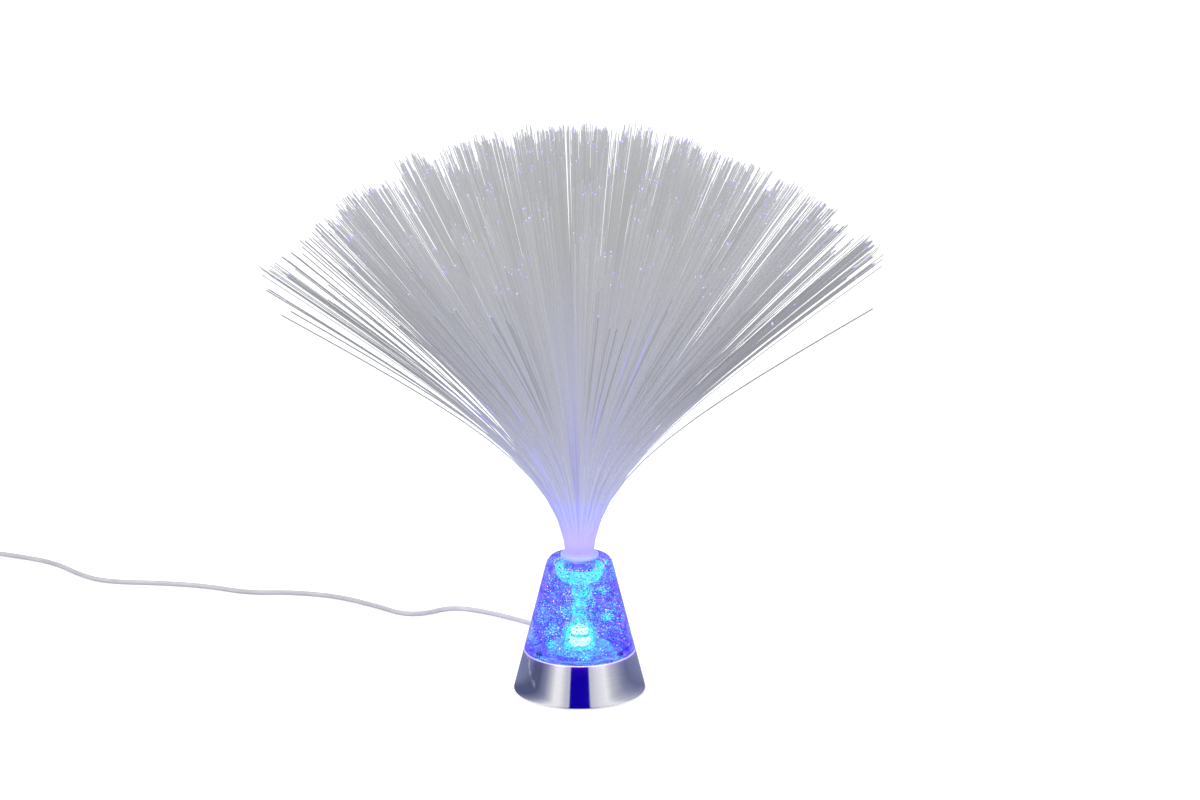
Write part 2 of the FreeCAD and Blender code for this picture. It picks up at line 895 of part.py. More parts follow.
def make_collar():
    body = new_body("fibre_collar")
    bore = size("bundle_radius") + size("bundle_clearance")
    top = size("crown_height") + size("collar_thickness")
    low = size("crown_height") - size("ferrule_length")
    crown, flange = size("crown_height"), size("collar_radius")
    revolve(body, [(0, crown), (flange, crown), (flange, top), (0, top)])
    ferrule = sketch_on(body, "XY_Plane", low)
    many_sided(ferrule, WIDE_SIDES, size("ferrule_radius"))
    pad(body, ferrule, size("ferrule_length"))
    hole = sketch_on(body, "XY_Plane", top)
    many_sided(hole, ROUND_SIDES, bore)
    pocket(body, hole, top - low + 1)
    bevel_edges(body, size("ring_bevel"), ring_at(size("collar_radius"), top))


def bundle_top():
    return size("crown_height") + size("collar_thickness") + size("bundle_rise")


def make_bundle():
    low = size("crown_height") - size("ferrule_length")
    bundle = prism("bonded_bundle", ROUND_SIDES, size("bundle_radius"), bundle_top() - low, 0, 0, low)
    keep(bundle, "bonded_bundle")


def lean_at(distance, angle):
    """How far a fibre leans from upright, in radians, at a distance along it."""
    share = 1 - (1 - SIZES["start_share"]) * math.exp(-distance / SIZES["bend_length"])
    return math.radians(angle * share)


def fibre(reach, bearing, angle, length):
    """One fibre: a square strand that leaves the bundle and bends outward along a smooth curve."""
    outward = Vector(math.cos(bearing), math.sin(bearing), 0)
    sideways = Vector(-math.sin(bearing), math.cos(bearing), 0)
    stations = next(shares for least, shares in BEND_STATIONS if angle >= least)
    steps_per_length = 200
    place_now = outward * reach + Vector(0, 0, float(bundle_top()))
    sections, done = [], 0
    for station in stations:
        while done < round(station * steps_per_length):
            lean = lean_at((done + 0.5) * length / steps_per_length, angle)
            along = outward * math.sin(lean) + Vector(0, 0, math.cos(lean))
            place_now += along * (length / steps_per_length)
            done += 1
        lean = lean_at(station * length, angle) if station else 0
        across = outward * math.cos(lean) - Vector(0, 0, math.sin(lean))
        half = SIZES["fibre_width"] / 2
        corners = [
            place_now + across * (half * a) + sideways * (half * b)
            for a, b in ((-1, -1), (1, -1), (1, 1), (-1, 1), (-1, -1))
        ]
        sections.append(Part.makePolygon(corners))
    return Part.makeLoft(sections, True, True)


def make_fibres():
    """Every fibre leaves its own place in the bundle; the further out it starts, the wider it leans."""
    chance = random.Random(11)
    count = SIZES["fibre_count"]
    rim = SIZES["bundle_radius"] - SIZES["fibre_width"]
    golden = math.pi * (3 - math.sqrt(5))
    groups = {"centre_fibres": [], "inner_fibres": [], "middle_fibres": [], "outer_fibres": []}
    names = list(groups)
    strays = []
    for n in range(count):
        share = math.sqrt((n + 0.5) / count)
        length = SIZES["fibre_length"] * chance.uniform(SIZES["shortest_share"], 1.0)
        wander = chance.uniform(-1, 1) * SIZES["angle_wander"] * share
        if n >= count - SIZES["stray_count"]:
            strays.append(fibre(rim * share, golden * n, SIZES["stray_angle"] + wander, length))
            continue
        angle = SIZES["spray_angle"] * share ** SIZES["spray_power"] + wander
        groups[names[min(3, int(share * 4))]].append(fibre(rim * share, golden * n, angle, length))
    for name, strands in groups.items():
        shaped(name, Part.makeCompound(strands))
    shaped("stray_fibres", Part.makeCompound(strays))


# The switch on the cord


def place_switch(body):
    place(body, size("switch_across"), size("switch_back"), 0)


def upright_corner(body):
    """A test for the upright edges at a switch housing's four corners."""
    half_width, half_length = SIZES["switch_width"] / 2, SIZES["switch_length"] / 2

    def wanted(edge):
        middle = edge.CenterOfMass - body.Placement.Base
        at_corner = abs(abs(middle.x) - half_width) < 0.01 and abs(abs(middle.y) - half_length) < 0.01
        return at_corner and edge.BoundBox.ZLength > 1

    return wanted


def flat_rim(body, up):
    """A test for the outer edges of a housing's flat face at a height."""
    half_width, half_length = SIZES["switch_width"] / 2, SIZES["switch_length"] / 2
    corner = SIZES["switch_corner"]

    def wanted(edge):
        middle = edge.CenterOfMass - body.Placement.Base
        flat = edge.BoundBox.ZLength < 0.01 and abs(middle.z - up) < 0.01
        near_side = abs(middle.x) > half_width - corner * 0.75
        near_end = abs(middle.y) > half_length - corner * 0.75
        return flat and (near_side or near_end)

    return wanted


def make_switch_half(label, low, closed_up):
    """Half of the switch's housing: an open tray whose closed side faces up or down."""
    body = new_body(label)
    place_switch(body)
    joint = size("switch_half_height")
    tray = sketch_on(body, "XY_Plane", low)
    rectangle(tray, size("switch_width"), size("switch_length"))
    pad(body, tray, joint)
    bevel_edges(body, size("switch_corner"), upright_corner(body))
    closed = float(low) + float(joint) if closed_up else float(low)
    bevel_edges(body, size("switch_bevel"), flat_rim(body, closed))
    hollow = sketch_on(body, "XY_Plane", joint)
    inside_width = size("switch_width") - size("switch_wall") * 2
    inside_length = size("switch_length") - size("switch_end_wall") * 2
    rectangle(hollow, inside_width, inside_length)
    depth = joint - size("switch_wall")
    pocket(body, hollow, depth, backwards=closed_up)
    boss = sketch_on(body, "XY_Plane", joint)
    along = size("switch_boss_along")
    many_sided(boss, HEAD_SIDES, size("switch_boss_radius"), size("switch_boss_across"), along)
    repeat(body, pad(body, boss, depth, down=not closed_up), 2)
    channel = sketch_on(body, "XZ_Plane", -size("switch_length"))
    many_sided(channel, HEAD_SIDES, size("cord_radius") + size("channel_clearance"), 0, joint)
    pocket(body, channel, size("switch_length") * 2, backwards=True)
    return body


def make_switch_housing():
    joint = size("switch_half_height")
    bore = size("screw_radius") + size("screw_clearance") * 0.5
    spot = (size("switch_boss_across"), size("switch_boss_along"))

    lower = make_switch_half("switch_lower_housing", as_size(0), False)
    through = sketch_on(lower, "XY_Plane", joint)
    many_sided(through, SMALL_SIDES, bore, *spot)
    repeat(lower, pocket(lower, through, joint + 1), 2)
    sunk = sketch_on(lower, "XY_Plane", 0)
    many_sided(sunk, HEAD_SIDES, size("screw_head_radius") + size("screw_clearance"), *spot)
    repeat(lower, pocket(lower, sunk, size("screw_head_height"), backwards=True), 2)

    upper = make_switch_half("switch_upper_housing", joint, True)
    pilot = sketch_on(upper, "XY_Plane", joint)
    many_sided(pilot, SMALL_SIDES, bore, *spot)
    repeat(upper, pocket(upper, pilot, joint - size("switch_wall"), backwards=True), 2)
    window = sketch_on(upper, "XY_Plane", joint * 2)
    rectangle(window, size("window_width"), size("window_length"))
    pocket(upper, window, size("switch_wall") + 1)
    seats = sketch_on(upper, "YZ_Plane")
    circle(seats, size("pin_radius") + size("pin_clearance") * 0.5, 0, size("pivot_height"))
    inside_width = size("switch_width") - size("switch_wall") * 2
    pocket(upper, seats, inside_width + size("pin_seat") * 2 + 0.2, both_ways=True)

    along, across = size("switch_boss_along"), size("switch_boss_across")
    shank = joint * 2 - size("screw_head_height") - size("switch_wall") - 1
    screws = [
        screw(
            f"switch_screw_{side}",
            size("screw_head_height"),
            size("switch_across") + across * side,
            size("switch_back") + along * side,
            shank,
            False,
        )
        for side in (-1, 1)
    ]
    group("switch_screws", screws)


def make_pivot_pin():
    length = size("switch_width") - size("switch_wall") * 2 + size("pin_seat") * 2
    pin = cylinder("rocker_pin", size("pin_radius"), length)
    pin.Placement = Placement(Vector(0, 0, 0), Rotation(Vector(0, 1, 0), 90))
    place(pin, size("switch_across") - length / 2, size("switch_back"), size("pivot_height"))
    keep(pin, "rocker_pin")


def tilted_at_pivot(solid):
    """Turns a piece that is drawn about the pivot to the switch's off position, and places it."""
    solid.Placement = Placement(Vector(0, 0, 0), Rotation(Vector(1, 0, 0), -SIZES["rocker_tilt"]))
    place(solid, size("switch_across"), size("switch_back"), size("pivot_height"))


def make_rocker():
    rocker = new_body("switch_rocker")
    half = size("window_length") / 2 - size("rocker_end_clearance")
    side = sketch_on(rocker, "YZ_Plane", -(size("window_width") / 2 - size("rocker_clearance")))
    low, end, top = -size("rocker_depth"), size("rocker_end_rise"), size("rocker_rise")
    outline(side, [(-half, low), (half, low), (half, end), (0, top), (-half, end)])
    pad(rocker, side, size("window_width") - size("rocker_clearance") * 2)
    bore = sketch_on(rocker, "YZ_Plane", size("window_width"))
    circle(bore, size("pin_radius") + size("pin_clearance"))
    pocket(rocker, bore, size("window_width") * 2)
    tilted_at_pivot(rocker)

    bridge = new_body("rocker_bridge")
    blade = sketch_on(bridge, "XY_Plane", size("bridge_height") - size("pivot_height"))
    rectangle(blade, size("bridge_width"), size("bridge_length"))
    pad(bridge, blade, size("bridge_thickness"))
    stem_low = size("bridge_height") - size("pivot_height") + size("bridge_thickness")
    stem = sketch_on(bridge, "XY_Plane", stem_low)
    rectangle(stem, size("bridge_stem"), size("bridge_stem"))
    pad(bridge, stem, -size("rocker_depth") - stem_low)
    tilted_at_pivot(bridge)


def make_contacts():
    low = size("switch_wall")
    contacts = [
        block(
            f"switch_contact_{side}",
            size("bridge_width"),
            size("bridge_width"),
            size("contact_top") - low,
            size("switch_across"),
            size("switch_back") + size("contact_along") * side,
            low,
        )
        for side in (-1, 1)
    ]
    group("switch_contacts", contacts)


# The cord


def switch_end(side):
    """Where the cord's sleeve ends in the switch, on its back (1) or front (-1) side."""
    return SIZES["switch_back"] + side * (SIZES["switch_length"] / 2 - SIZES["cord_seat"])


def lamp_cord_points():
    """From the clamp through the gland, down to the table and across it to the switch."""
    across, back, end = SIZES["switch_across"], SIZES["cord_furthest_back"], switch_end(1)
    lying, joint = SIZES["cord_radius"], SIZES["switch_half_height"]
    gland = SIZES["gland_height"]
    lie = [(across * right, back * behind, lying) for right, behind in LAMP_CORD_SHARES]
    return [
        (0, cord_end(), gland),
        (0, cord_end() + SIZES["gland_run"], gland),
        *lie,
        (across, end + SIZES["switch_run"], joint),
        (across, end, joint),
    ]


def coil_middle():
    """The coil's middle in plan: its outermost turn leaves in line with the switch."""
    return SIZES["switch_across"] + SIZES["coil_radius"], SIZES["coil_back"]


def switch_cord_points():
    """From the switch down to the table and up to the coil."""
    across, start = SIZES["switch_across"], switch_end(-1)
    lying, joint = SIZES["cord_radius"], SIZES["switch_half_height"]
    end = SIZES["coil_back"] + 2 * SIZES["cord_radius"]
    leaves, lands = (start + (end - start) * share for share in SWITCH_CORD_SHARES)
    return [(across, start, joint), (across, leaves, joint), (across, lands, lying), (across, end, lying)]


def plug_cord_points():
    """From the coil's upper layer down to the table and up into the plug."""
    across, plug = SIZES["switch_across"], SIZES["plug_across"]
    lying, grip = SIZES["cord_radius"], SIZES["grip_height"] / 2
    start, end = SIZES["coil_back"] - 2 * SIZES["cord_radius"], SIZES["plug_back"]
    run = start - end - SIZES["plug_run"]
    lie = [(across + (plug - across) * right, start - run * on, lying) for right, on in PLUG_CORD_SHARES]
    leaves = start - run * PLUG_CORD_DROP
    return [
        (across, start, lying + SIZES["coil_pitch"]),
        (across, leaves, lying + SIZES["coil_pitch"]),
        *lie,
        (plug, end + SIZES["plug_run"], grip),
        (plug, end, grip),
    ]


def coil_point(turns):
    """A place on the coil's line and its direction, a number of turns from the start."""
    across, back = coil_middle()
    pitch, wound = SIZES["coil_pitch"], SIZES["coil_turns"]
    inward = turns < wound
    radius = SIZES["coil_radius"] - pitch * (turns if inward else 2 * wound - turns)
    widening = 0 if turns in (0, wound, 2 * wound) else pitch * (-1 if inward else 1)
    climb = min(1, max(0, (turns - wound + 0.25) * 2))
    height = SIZES["cord_radius"] + pitch * (1 - math.cos(math.pi * climb)) / 2
    rising = pitch * math.pi * math.sin(math.pi * climb)
    angle = math.pi + 2 * math.pi * turns
    outward = Vector(math.cos(angle), math.sin(angle), 0)
    forward = Vector(-math.sin(angle), math.cos(angle), 0)
    place_now = Vector(across, back, height) + outward * radius
    along = forward * (2 * math.pi * radius) + outward * widening + Vector(0, 0, rising)
    return place_now, along.normalize()


def two_arcs(start, leaving, end, arriving):
    """The two tangent arcs that join two places with given directions."""
    chord, both = end - start, leaving + arriving
    spread = 2 * (1 - leaving.dot(arriving))
    reach = (-chord.dot(both) + math.sqrt(chord.dot(both) ** 2 + spread * chord.dot(chord))) / spread
    first, second = start + leaving * reach, end - arriving * reach
    middle = (first + second) * 0.5
    return [
        Part.Arc(start, bend_middle(start, first, middle), middle).toShape(),
        Part.Arc(middle, bend_middle(middle, second, end), end).toShape(),
    ]


def least_gap(path, thick, step):
    """The least gap between a path's surface and itself, past a turn's worth of its own length."""
    points = path.discretize(Distance=step)
    apart = round(thick * 4 / step)
    nearest = min(
        a.distanceToPoint(b) for n, a in enumerate(points) for b in points[n + apart :]
    )
    return nearest - thick


def make_coil():
    """The rest of the cord, laid by: in on the table, up a layer, and out again on top."""
    thick = 2 * SIZES["cord_radius"]
    quarters = round(SIZES["coil_turns"] * 2 * 4)
    places = [coil_point(k / 4) for k in range(quarters + 1)]
    straight = Vector(0, -thick, 0)
    first, last = places[0][0], places[-1][0]
    edges = [Part.LineSegment(first - straight, first).toShape()]
    for (start, leaving), (end, arriving) in zip(places, places[1:]):
        edges += two_arcs(start, leaving, end, arriving)
    edges.append(Part.LineSegment(last, last + straight).toShape())
    path = Part.Wire(edges)
    print(f"cord_coil: least gap to itself {least_gap(path, thick, 1.0):.2f} mm")
    tube("cord_coil", path, SIZES["cord_radius"], SIZES["coil_sides"])


def make_cords():
    cord("lamp_cord", lamp_cord_points())
    cord("switch_cord", switch_cord_points())
    make_coil()
    cord("plug_cord", plug_cord_points())


# The plug


def make_plug():
    across, end, middle = size("plug_across"), size("plug_back"), size("grip_height") / 2
    relief = new_body("plug_strain_relief")
    length = size("relief_length")
    for radius, reach in ((size("relief_radius"), length / 2), (size("relief_tip_radius"), length)):
        face = sketch_on(relief, "XZ_Plane", -(end - length))
        many_sided(face, HEAD_SIDES, radius, 0, middle)
        pad(relief, face, reach, down=True)
    place(relief, across, 0, 0)

    grip = new_body("plug_grip")
    front = end - length - size("grip_length")
    face = sketch_on(grip, "XZ_Plane", -(end - length))
    rectangle(face, size("grip_width"), size("grip_height"), 0, middle)
    pad(grip, face, size("grip_length"))
    place(grip, across, 0, 0)
    grip_half = SIZES["grip_width"] / 2
    round_edges(
        grip,
        size("grip_rounding"),
        lambda edge: edge.BoundBox.YLength > 1
        and abs(abs(edge.CenterOfMass.x - SIZES["plug_across"]) - grip_half) < 0.01,
    )

    wall = size("shell_wall")
    shell_length = size("shell_length")
    shell_back = front - shell_length / 2
    outer = block(
        "shell_outer",
        size("shell_width"),
        shell_length,
        size("shell_height"),
        across,
        shell_back,
        middle - size("shell_height") / 2,
    )
    inner = block(
        "shell_inner",
        size("shell_width") - wall * 2,
        shell_length * 2,
        size("shell_height") - wall * 2,
        across,
        shell_back,
        middle - size("shell_height") / 2 + wall,
    )
    keep(cut("plug_shell", outer, inner), "plug_shell")

    tongue_length = shell_length - size("tongue_setback")
    tongue_low = middle - size("shell_height") / 2 + wall + size("cord_clearance")
    tongue = block(
        "plug_tongue",
        size("tongue_width"),
        tongue_length,
        size("tongue_thickness"),
        across,
        front - tongue_length / 2,
        tongue_low,
    )
    keep(tongue, "plug_tongue")
    spacing = size("plug_contact_spacing")
    contacts = [
        block(
            f"plug_contact_{k}",
            size("plug_contact_width"),
            size("plug_contact_length"),
            size("plug_contact_thickness"),
            across + spacing * (k - 1.5),
            front - tongue_length / 2,
            tongue_low + size("tongue_thickness"),
        )
        for k in range(4)
    ]
    group("plug_contacts", contacts)


def check_and_write():
    """Stops on any failed object; otherwise writes each piece to its own file."""
    doc.recompute()
    for thing in doc.Objects:
        if any(state in ("Invalid", "Error") for state in thing.State):
            raise RuntimeError(f"{thing.Label} failed: {thing.State}")
    for thing in pieces:
        if thing.Shape.isNull() or not thing.Shape.isValid():
            raise RuntimeError(f"{thing.Label} has no valid shape")
    os.makedirs("parts", exist_ok=True)
    for thing in pieces:
        thing.Shape.exportStep(f"parts/{thing.Label}.step")
    print(len(pieces), "pieces written")


make_sheet()
make_resting_pad()
make_bottom_cover()
make_chrome_ring()
make_crystal_cone()
make_foot_screws()
make_light_board()
make_gland()
make_cord_clamp()
make_leads()
make_collar()
make_bundle()
make_fibres()
make_switch_housing()
make_pivot_pin()
make_rocker()
make_contacts()
make_cords()
make_plug()
check_and_write()
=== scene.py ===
import json
import math
import random

import bpy
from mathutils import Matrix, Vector


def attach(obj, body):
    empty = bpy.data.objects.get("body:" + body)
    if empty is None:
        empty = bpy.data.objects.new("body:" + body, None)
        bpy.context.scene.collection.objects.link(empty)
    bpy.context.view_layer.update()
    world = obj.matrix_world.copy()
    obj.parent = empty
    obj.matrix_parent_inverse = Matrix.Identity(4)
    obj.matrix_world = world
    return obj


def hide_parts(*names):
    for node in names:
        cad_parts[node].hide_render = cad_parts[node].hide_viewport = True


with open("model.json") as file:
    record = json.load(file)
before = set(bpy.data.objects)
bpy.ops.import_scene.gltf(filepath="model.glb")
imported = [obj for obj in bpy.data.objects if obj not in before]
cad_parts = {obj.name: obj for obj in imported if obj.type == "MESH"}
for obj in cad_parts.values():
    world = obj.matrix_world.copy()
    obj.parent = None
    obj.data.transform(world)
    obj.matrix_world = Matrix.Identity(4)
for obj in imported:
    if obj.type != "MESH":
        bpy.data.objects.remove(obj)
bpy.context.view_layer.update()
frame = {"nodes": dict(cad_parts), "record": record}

# Every length is in metres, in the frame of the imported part.

RING_FOOT = 0.0008
RING_TOP = 0.0245
CROWN_TOP = 0.0800
FOOT_RADIUS = 0.03805
CROWN_RADIUS = 0.01815
SPIGOT_FOOT = 0.0216
BORE_FLOOR = 0.0690
COLLAR_TOP = 0.0822
BUNDLE_TOP = 0.0832
BUNDLE_RADIUS = 0.0080
FIBRE_LENGTH = 0.245
FIBRE_WIDTH = 0.0005
CORD_WIDTH = 0.0028
# a turned outline stops this far short of its axis
AXIS = 0.0001

scene = bpy.context.scene
scene.view_settings.view_transform = "Standard"


# The camera stands where the photographer stood

def make_camera():
    data = bpy.data.cameras.new("photo_camera")
    data.lens = 117.0
    data.sensor_width = 36.0
    camera = bpy.data.objects.new("photo_camera", data)
    scene.collection.objects.link(camera)
    camera.location = (0.0, -2.1269, 0.7699)
    camera.rotation_euler = (math.radians(90 - 15.678), 0.0, math.radians(-0.3163))
    data.clip_start = 0.05
    data.clip_end = 60.0
    scene.camera = camera


make_camera()


# Materials

def new_material(name):
    material = bpy.data.materials.new(name)
    material.use_nodes = True
    nodes = material.node_tree.nodes
    return material, nodes, material.node_tree.links, nodes["Principled BSDF"]


def position(nodes):
    return nodes.new("ShaderNodeTexCoord").outputs["Object"]


def noise(nodes, links, scale, detail, stretch=None):
    """A noise texture in object space; stretch scales its three directions."""
    texture = nodes.new("ShaderNodeTexNoise")
    texture.inputs["Scale"].default_value = scale
    texture.inputs["Detail"].default_value = detail
    place = position(nodes)
    if stretch:
        mapping = nodes.new("ShaderNodeMapping")
        mapping.inputs["Scale"].default_value = stretch
        links.new(place, mapping.inputs["Vector"])
        place = mapping.outputs["Vector"]
    links.new(place, texture.inputs["Vector"])
    return texture.outputs["Fac"]


def height_up(nodes, links):
    split = nodes.new("ShaderNodeSeparateXYZ")
    links.new(position(nodes), split.inputs["Vector"])
    return split.outputs["Z"]


def distance_away(nodes, links):
    """How far a place is from the middle of the lamp's foot."""
    away = nodes.new("ShaderNodeVectorMath")
    away.operation = "LENGTH"
    links.new(position(nodes), away.inputs[0])
    return away.outputs["Value"]


def backfacing(nodes):
    return nodes.new("ShaderNodeNewGeometry").outputs["Backfacing"]


def spots(nodes, links, scale):
    texture = nodes.new("ShaderNodeTexVoronoi")
    texture.inputs["Scale"].default_value = scale
    links.new(position(nodes), texture.inputs["Vector"])
    return texture


def ramp(nodes, links, value, stops):
    """Colours along a value; stops are (place, colour)."""
    node = nodes.new("ShaderNodeValToRGB")
    links.new(value, node.inputs["Fac"])
    elements = node.color_ramp.elements
    while len(elements) < len(stops):
        elements.new(0.5)
    for element, (place, colour) in zip(elements, stops):
        element.position = place
        element.color = (*colour, 1.0)
    return node.outputs["Color"]


def maths(nodes, links, operation, a, b):
    node = nodes.new("ShaderNodeMath")
    node.operation = operation
    for socket, value in zip(node.inputs, (a, b)):
        if isinstance(value, (int, float)):
            socket.default_value = value
        else:
            links.new(value, socket)
    return node.outputs["Value"]


def mapped(nodes, links, value, low, high, to_low, to_high):
    node = nodes.new("ShaderNodeMapRange")
    links.new(value, node.inputs["Value"])
    node.inputs["From Min"].default_value = low
    node.inputs["From Max"].default_value = high
    node.inputs["To Min"].default_value = to_low
    node.inputs["To Max"].default_value = to_high
    return node.outputs["Result"]


def bump(nodes, links, shader, height, distance):
    node = nodes.new("ShaderNodeBump")
    node.inputs["Distance"].default_value = distance
    node.inputs["Strength"].default_value = 1.0
    links.new(height, node.inputs["Height"])
    links.new(node.outputs["Normal"], shader.inputs["Normal"])


def mixed(nodes, links, factor, first, second, blend="MIX"):
    node = nodes.new("ShaderNodeMix")
    node.data_type = "RGBA"
    node.blend_type = blend
    sockets = (node.inputs["Factor"], node.inputs[6], node.inputs[7])
    for socket, value in zip(sockets, (factor, first, second)):
        if isinstance(value, (int, float)):
            socket.default_value = value
        elif isinstance(value, tuple):
            socket.default_value = (*value, 1.0)
        else:
            links.new(value, socket)
    return node.outputs[2]


def moulded(name, dark, light, roughness, grain=2600.0, depth=0.00004):
    """Moulded plastic or rubber: a slight mottle of colour, a fine skin and uneven gloss."""
    material, nodes, links, shader = new_material(name)
    cloud = noise(nodes, links, 60.0, 4.0)
    links.new(ramp(nodes, links, cloud, [(0.3, dark), (0.7, light)]), shader.inputs["Base Color"])
    fine = noise(nodes, links, grain, 2.0)
    gloss = mapped(nodes, links, fine, 0.3, 0.7, roughness - 0.08, roughness + 0.08)
    links.new(gloss, shader.inputs["Roughness"])
    bump(nodes, links, shader, fine, depth)
    return material


def metal(name, dark, light, roughness, stretch):
    """Metal with a brushed or plated grain."""
    material, nodes, links, shader = new_material(name)
    lines = noise(nodes, links, 400.0, 3.0, stretch)
    links.new(ramp(nodes, links, lines, [(0.3, dark), (0.7, light)]), shader.inputs["Base Color"])
    shader.inputs["Metallic"].default_value = 1.0
    gloss = mapped(nodes, links, lines, 0.2, 0.8, roughness * 0.7, roughness * 1.4)
    links.new(gloss, shader.inputs["Roughness"])
    bump(nodes, links, shader, lines, 0.00002)
    return material


def strand_value(nodes, name):
    """A number that each strand's points keep."""
    value = nodes.new("ShaderNodeAttribute")
    value.attribute_name = name
    return value.outputs["Fac"]


def make_fibre_material():
    """Clear strands that read pale grey: each has its own tone, and light leaks out near the collar; a grey
    glow along the whole strand is painted fill light that lifts the shade the strands cast on one another.
    """
    material, nodes, links, shader = new_material("fibre")
    tone, along, glow, dim = (strand_value(nodes, name) for name in ("tone", "along", "glow", "dim"))
    past_trunk = mapped(nodes, links, along, 0.25, 0.6, 0.0, 1.0)
    shade = maths(nodes, links, "SUBTRACT", 1.0, maths(nodes, links, "MULTIPLY", dim, past_trunk))
    own = ramp(nodes, links, tone, [(0.0, (0.25, 0.253, 0.27)), (1.0, (0.31, 0.31, 0.32))])
    lit = ramp(
        nodes,
        links,
        along,
        [
            (0.0, (0.30, 0.28, 0.60)),
            (0.1, (0.28, 0.28, 0.58)),
            (0.2, (0.28, 0.28, 0.45)),
            (0.45, (0.27, 0.27, 0.33)),
            (0.8, (0.265, 0.265, 0.29)),
        ],
    )
    surface = mixed(nodes, links, 0.5, own, lit)
    links.new(mixed(nodes, links, 1.0, surface, shade, "MULTIPLY"), shader.inputs["Base Color"])
    shader.inputs["Roughness"].default_value = 0.4
    shader.inputs["IOR"].default_value = 1.45
    # painted light: the lamp's lavender glow near the collar fades into a grey glow along the whole strand,
    # painted fill light that lifts the shade the strands cast on one another
    leak_and_fill_glow = ramp(
        nodes,
        links,
        along,
        [
            (0.0, (0.33, 0.26, 0.85)),
            (0.04, (0.32, 0.26, 0.85)),
            (0.11, (0.255, 0.275, 0.80)),
            (0.21, (0.25, 0.26, 0.48)),
            (0.3, (0.285, 0.29, 0.47)),
            (0.4, (0.316, 0.32, 0.42)),
            (0.55, (0.30, 0.305, 0.36)),
            (0.8, (0.268, 0.273, 0.26)),
            (1.0, (0.25, 0.255, 0.26)),
        ],
    )
    # the outer strands leave the bundle's glow sooner
    leaving = mapped(nodes, links, along, 0.06, 0.16, 0.0, 0.75)
    greyer = maths(nodes, links, "MULTIPLY", strand_value(nodes, "rim"), leaving)
    leak_and_fill_glow = mixed(nodes, links, greyer, leak_and_fill_glow, (0.28, 0.285, 0.32))
    leak_and_fill_glow = mixed(nodes, links, 1.0, leak_and_fill_glow, shade, "MULTIPLY")
    blue = ramp(nodes, links, glow, [(0.0, (0.0, 0.0, 0.0)), (1.0, (0.0, 0.0, 0.8))])
    links.new(mixed(nodes, links, 1.0, leak_and_fill_glow, blue, "ADD"), shader.inputs["Emission Color"])
    shader.inputs["Emission Strength"].default_value = 1.0
    return material


def make_tip_material():
    material, nodes, links, shader = new_material("fibre_tip")
    tone = strand_value(nodes, "tone")
    colour = ramp(nodes, links, tone, [(0.0, (0.25, 0.25, 0.95)), (1.0, (0.5, 0.5, 1.0))])
    links.new(colour, shader.inputs["Base Color"])
    links.new(colour, shader.inputs["Emission Color"])
    shader.inputs["Emission Strength"].default_value = 0.8
    return material


def make_chrome():
    """Bright plate: almost a mirror, with a faint turned grain and handling marks."""
    material, nodes, links, shader = new_material("chrome")
    lines = noise(nodes, links, 90.0, 3.0, (1.0, 1.0, 30.0))
    plate = ramp(nodes, links, lines, [(0.3, (0.68, 0.68, 0.7)), (0.7, (0.74, 0.74, 0.75))])
    links.new(plate, shader.inputs["Base Color"])
    shader.inputs["Metallic"].default_value = 1.0
    smudge = noise(nodes, links, 55.0, 4.0)
    links.new(mapped(nodes, links, smudge, 0.3, 0.8, 0.05, 0.11), shader.inputs["Roughness"])
    bump(nodes, links, shader, lines, 0.000005)
    # light from the acrylic spills on to the plate just under it and catches its lip
    rise = mapped(nodes, links, height_up(nodes, links), 0.0185, RING_TOP, 0.0, 1.0)
    spill = [
        (0.0, (0.0, 0.0, 0.02)),
        (0.6, (0.01, 0.0, 0.06)),
        (0.88, (0.04, 0.0, 0.2)),
        (0.93, (0.3, 0.22, 0.5)),
        (1.0, (0.6, 0.5, 0.85)),
    ]
    links.new(ramp(nodes, links, rise, spill), shader.inputs["Emission Color"])
    shader.inputs["Emission Strength"].default_value = 1.0
    return material


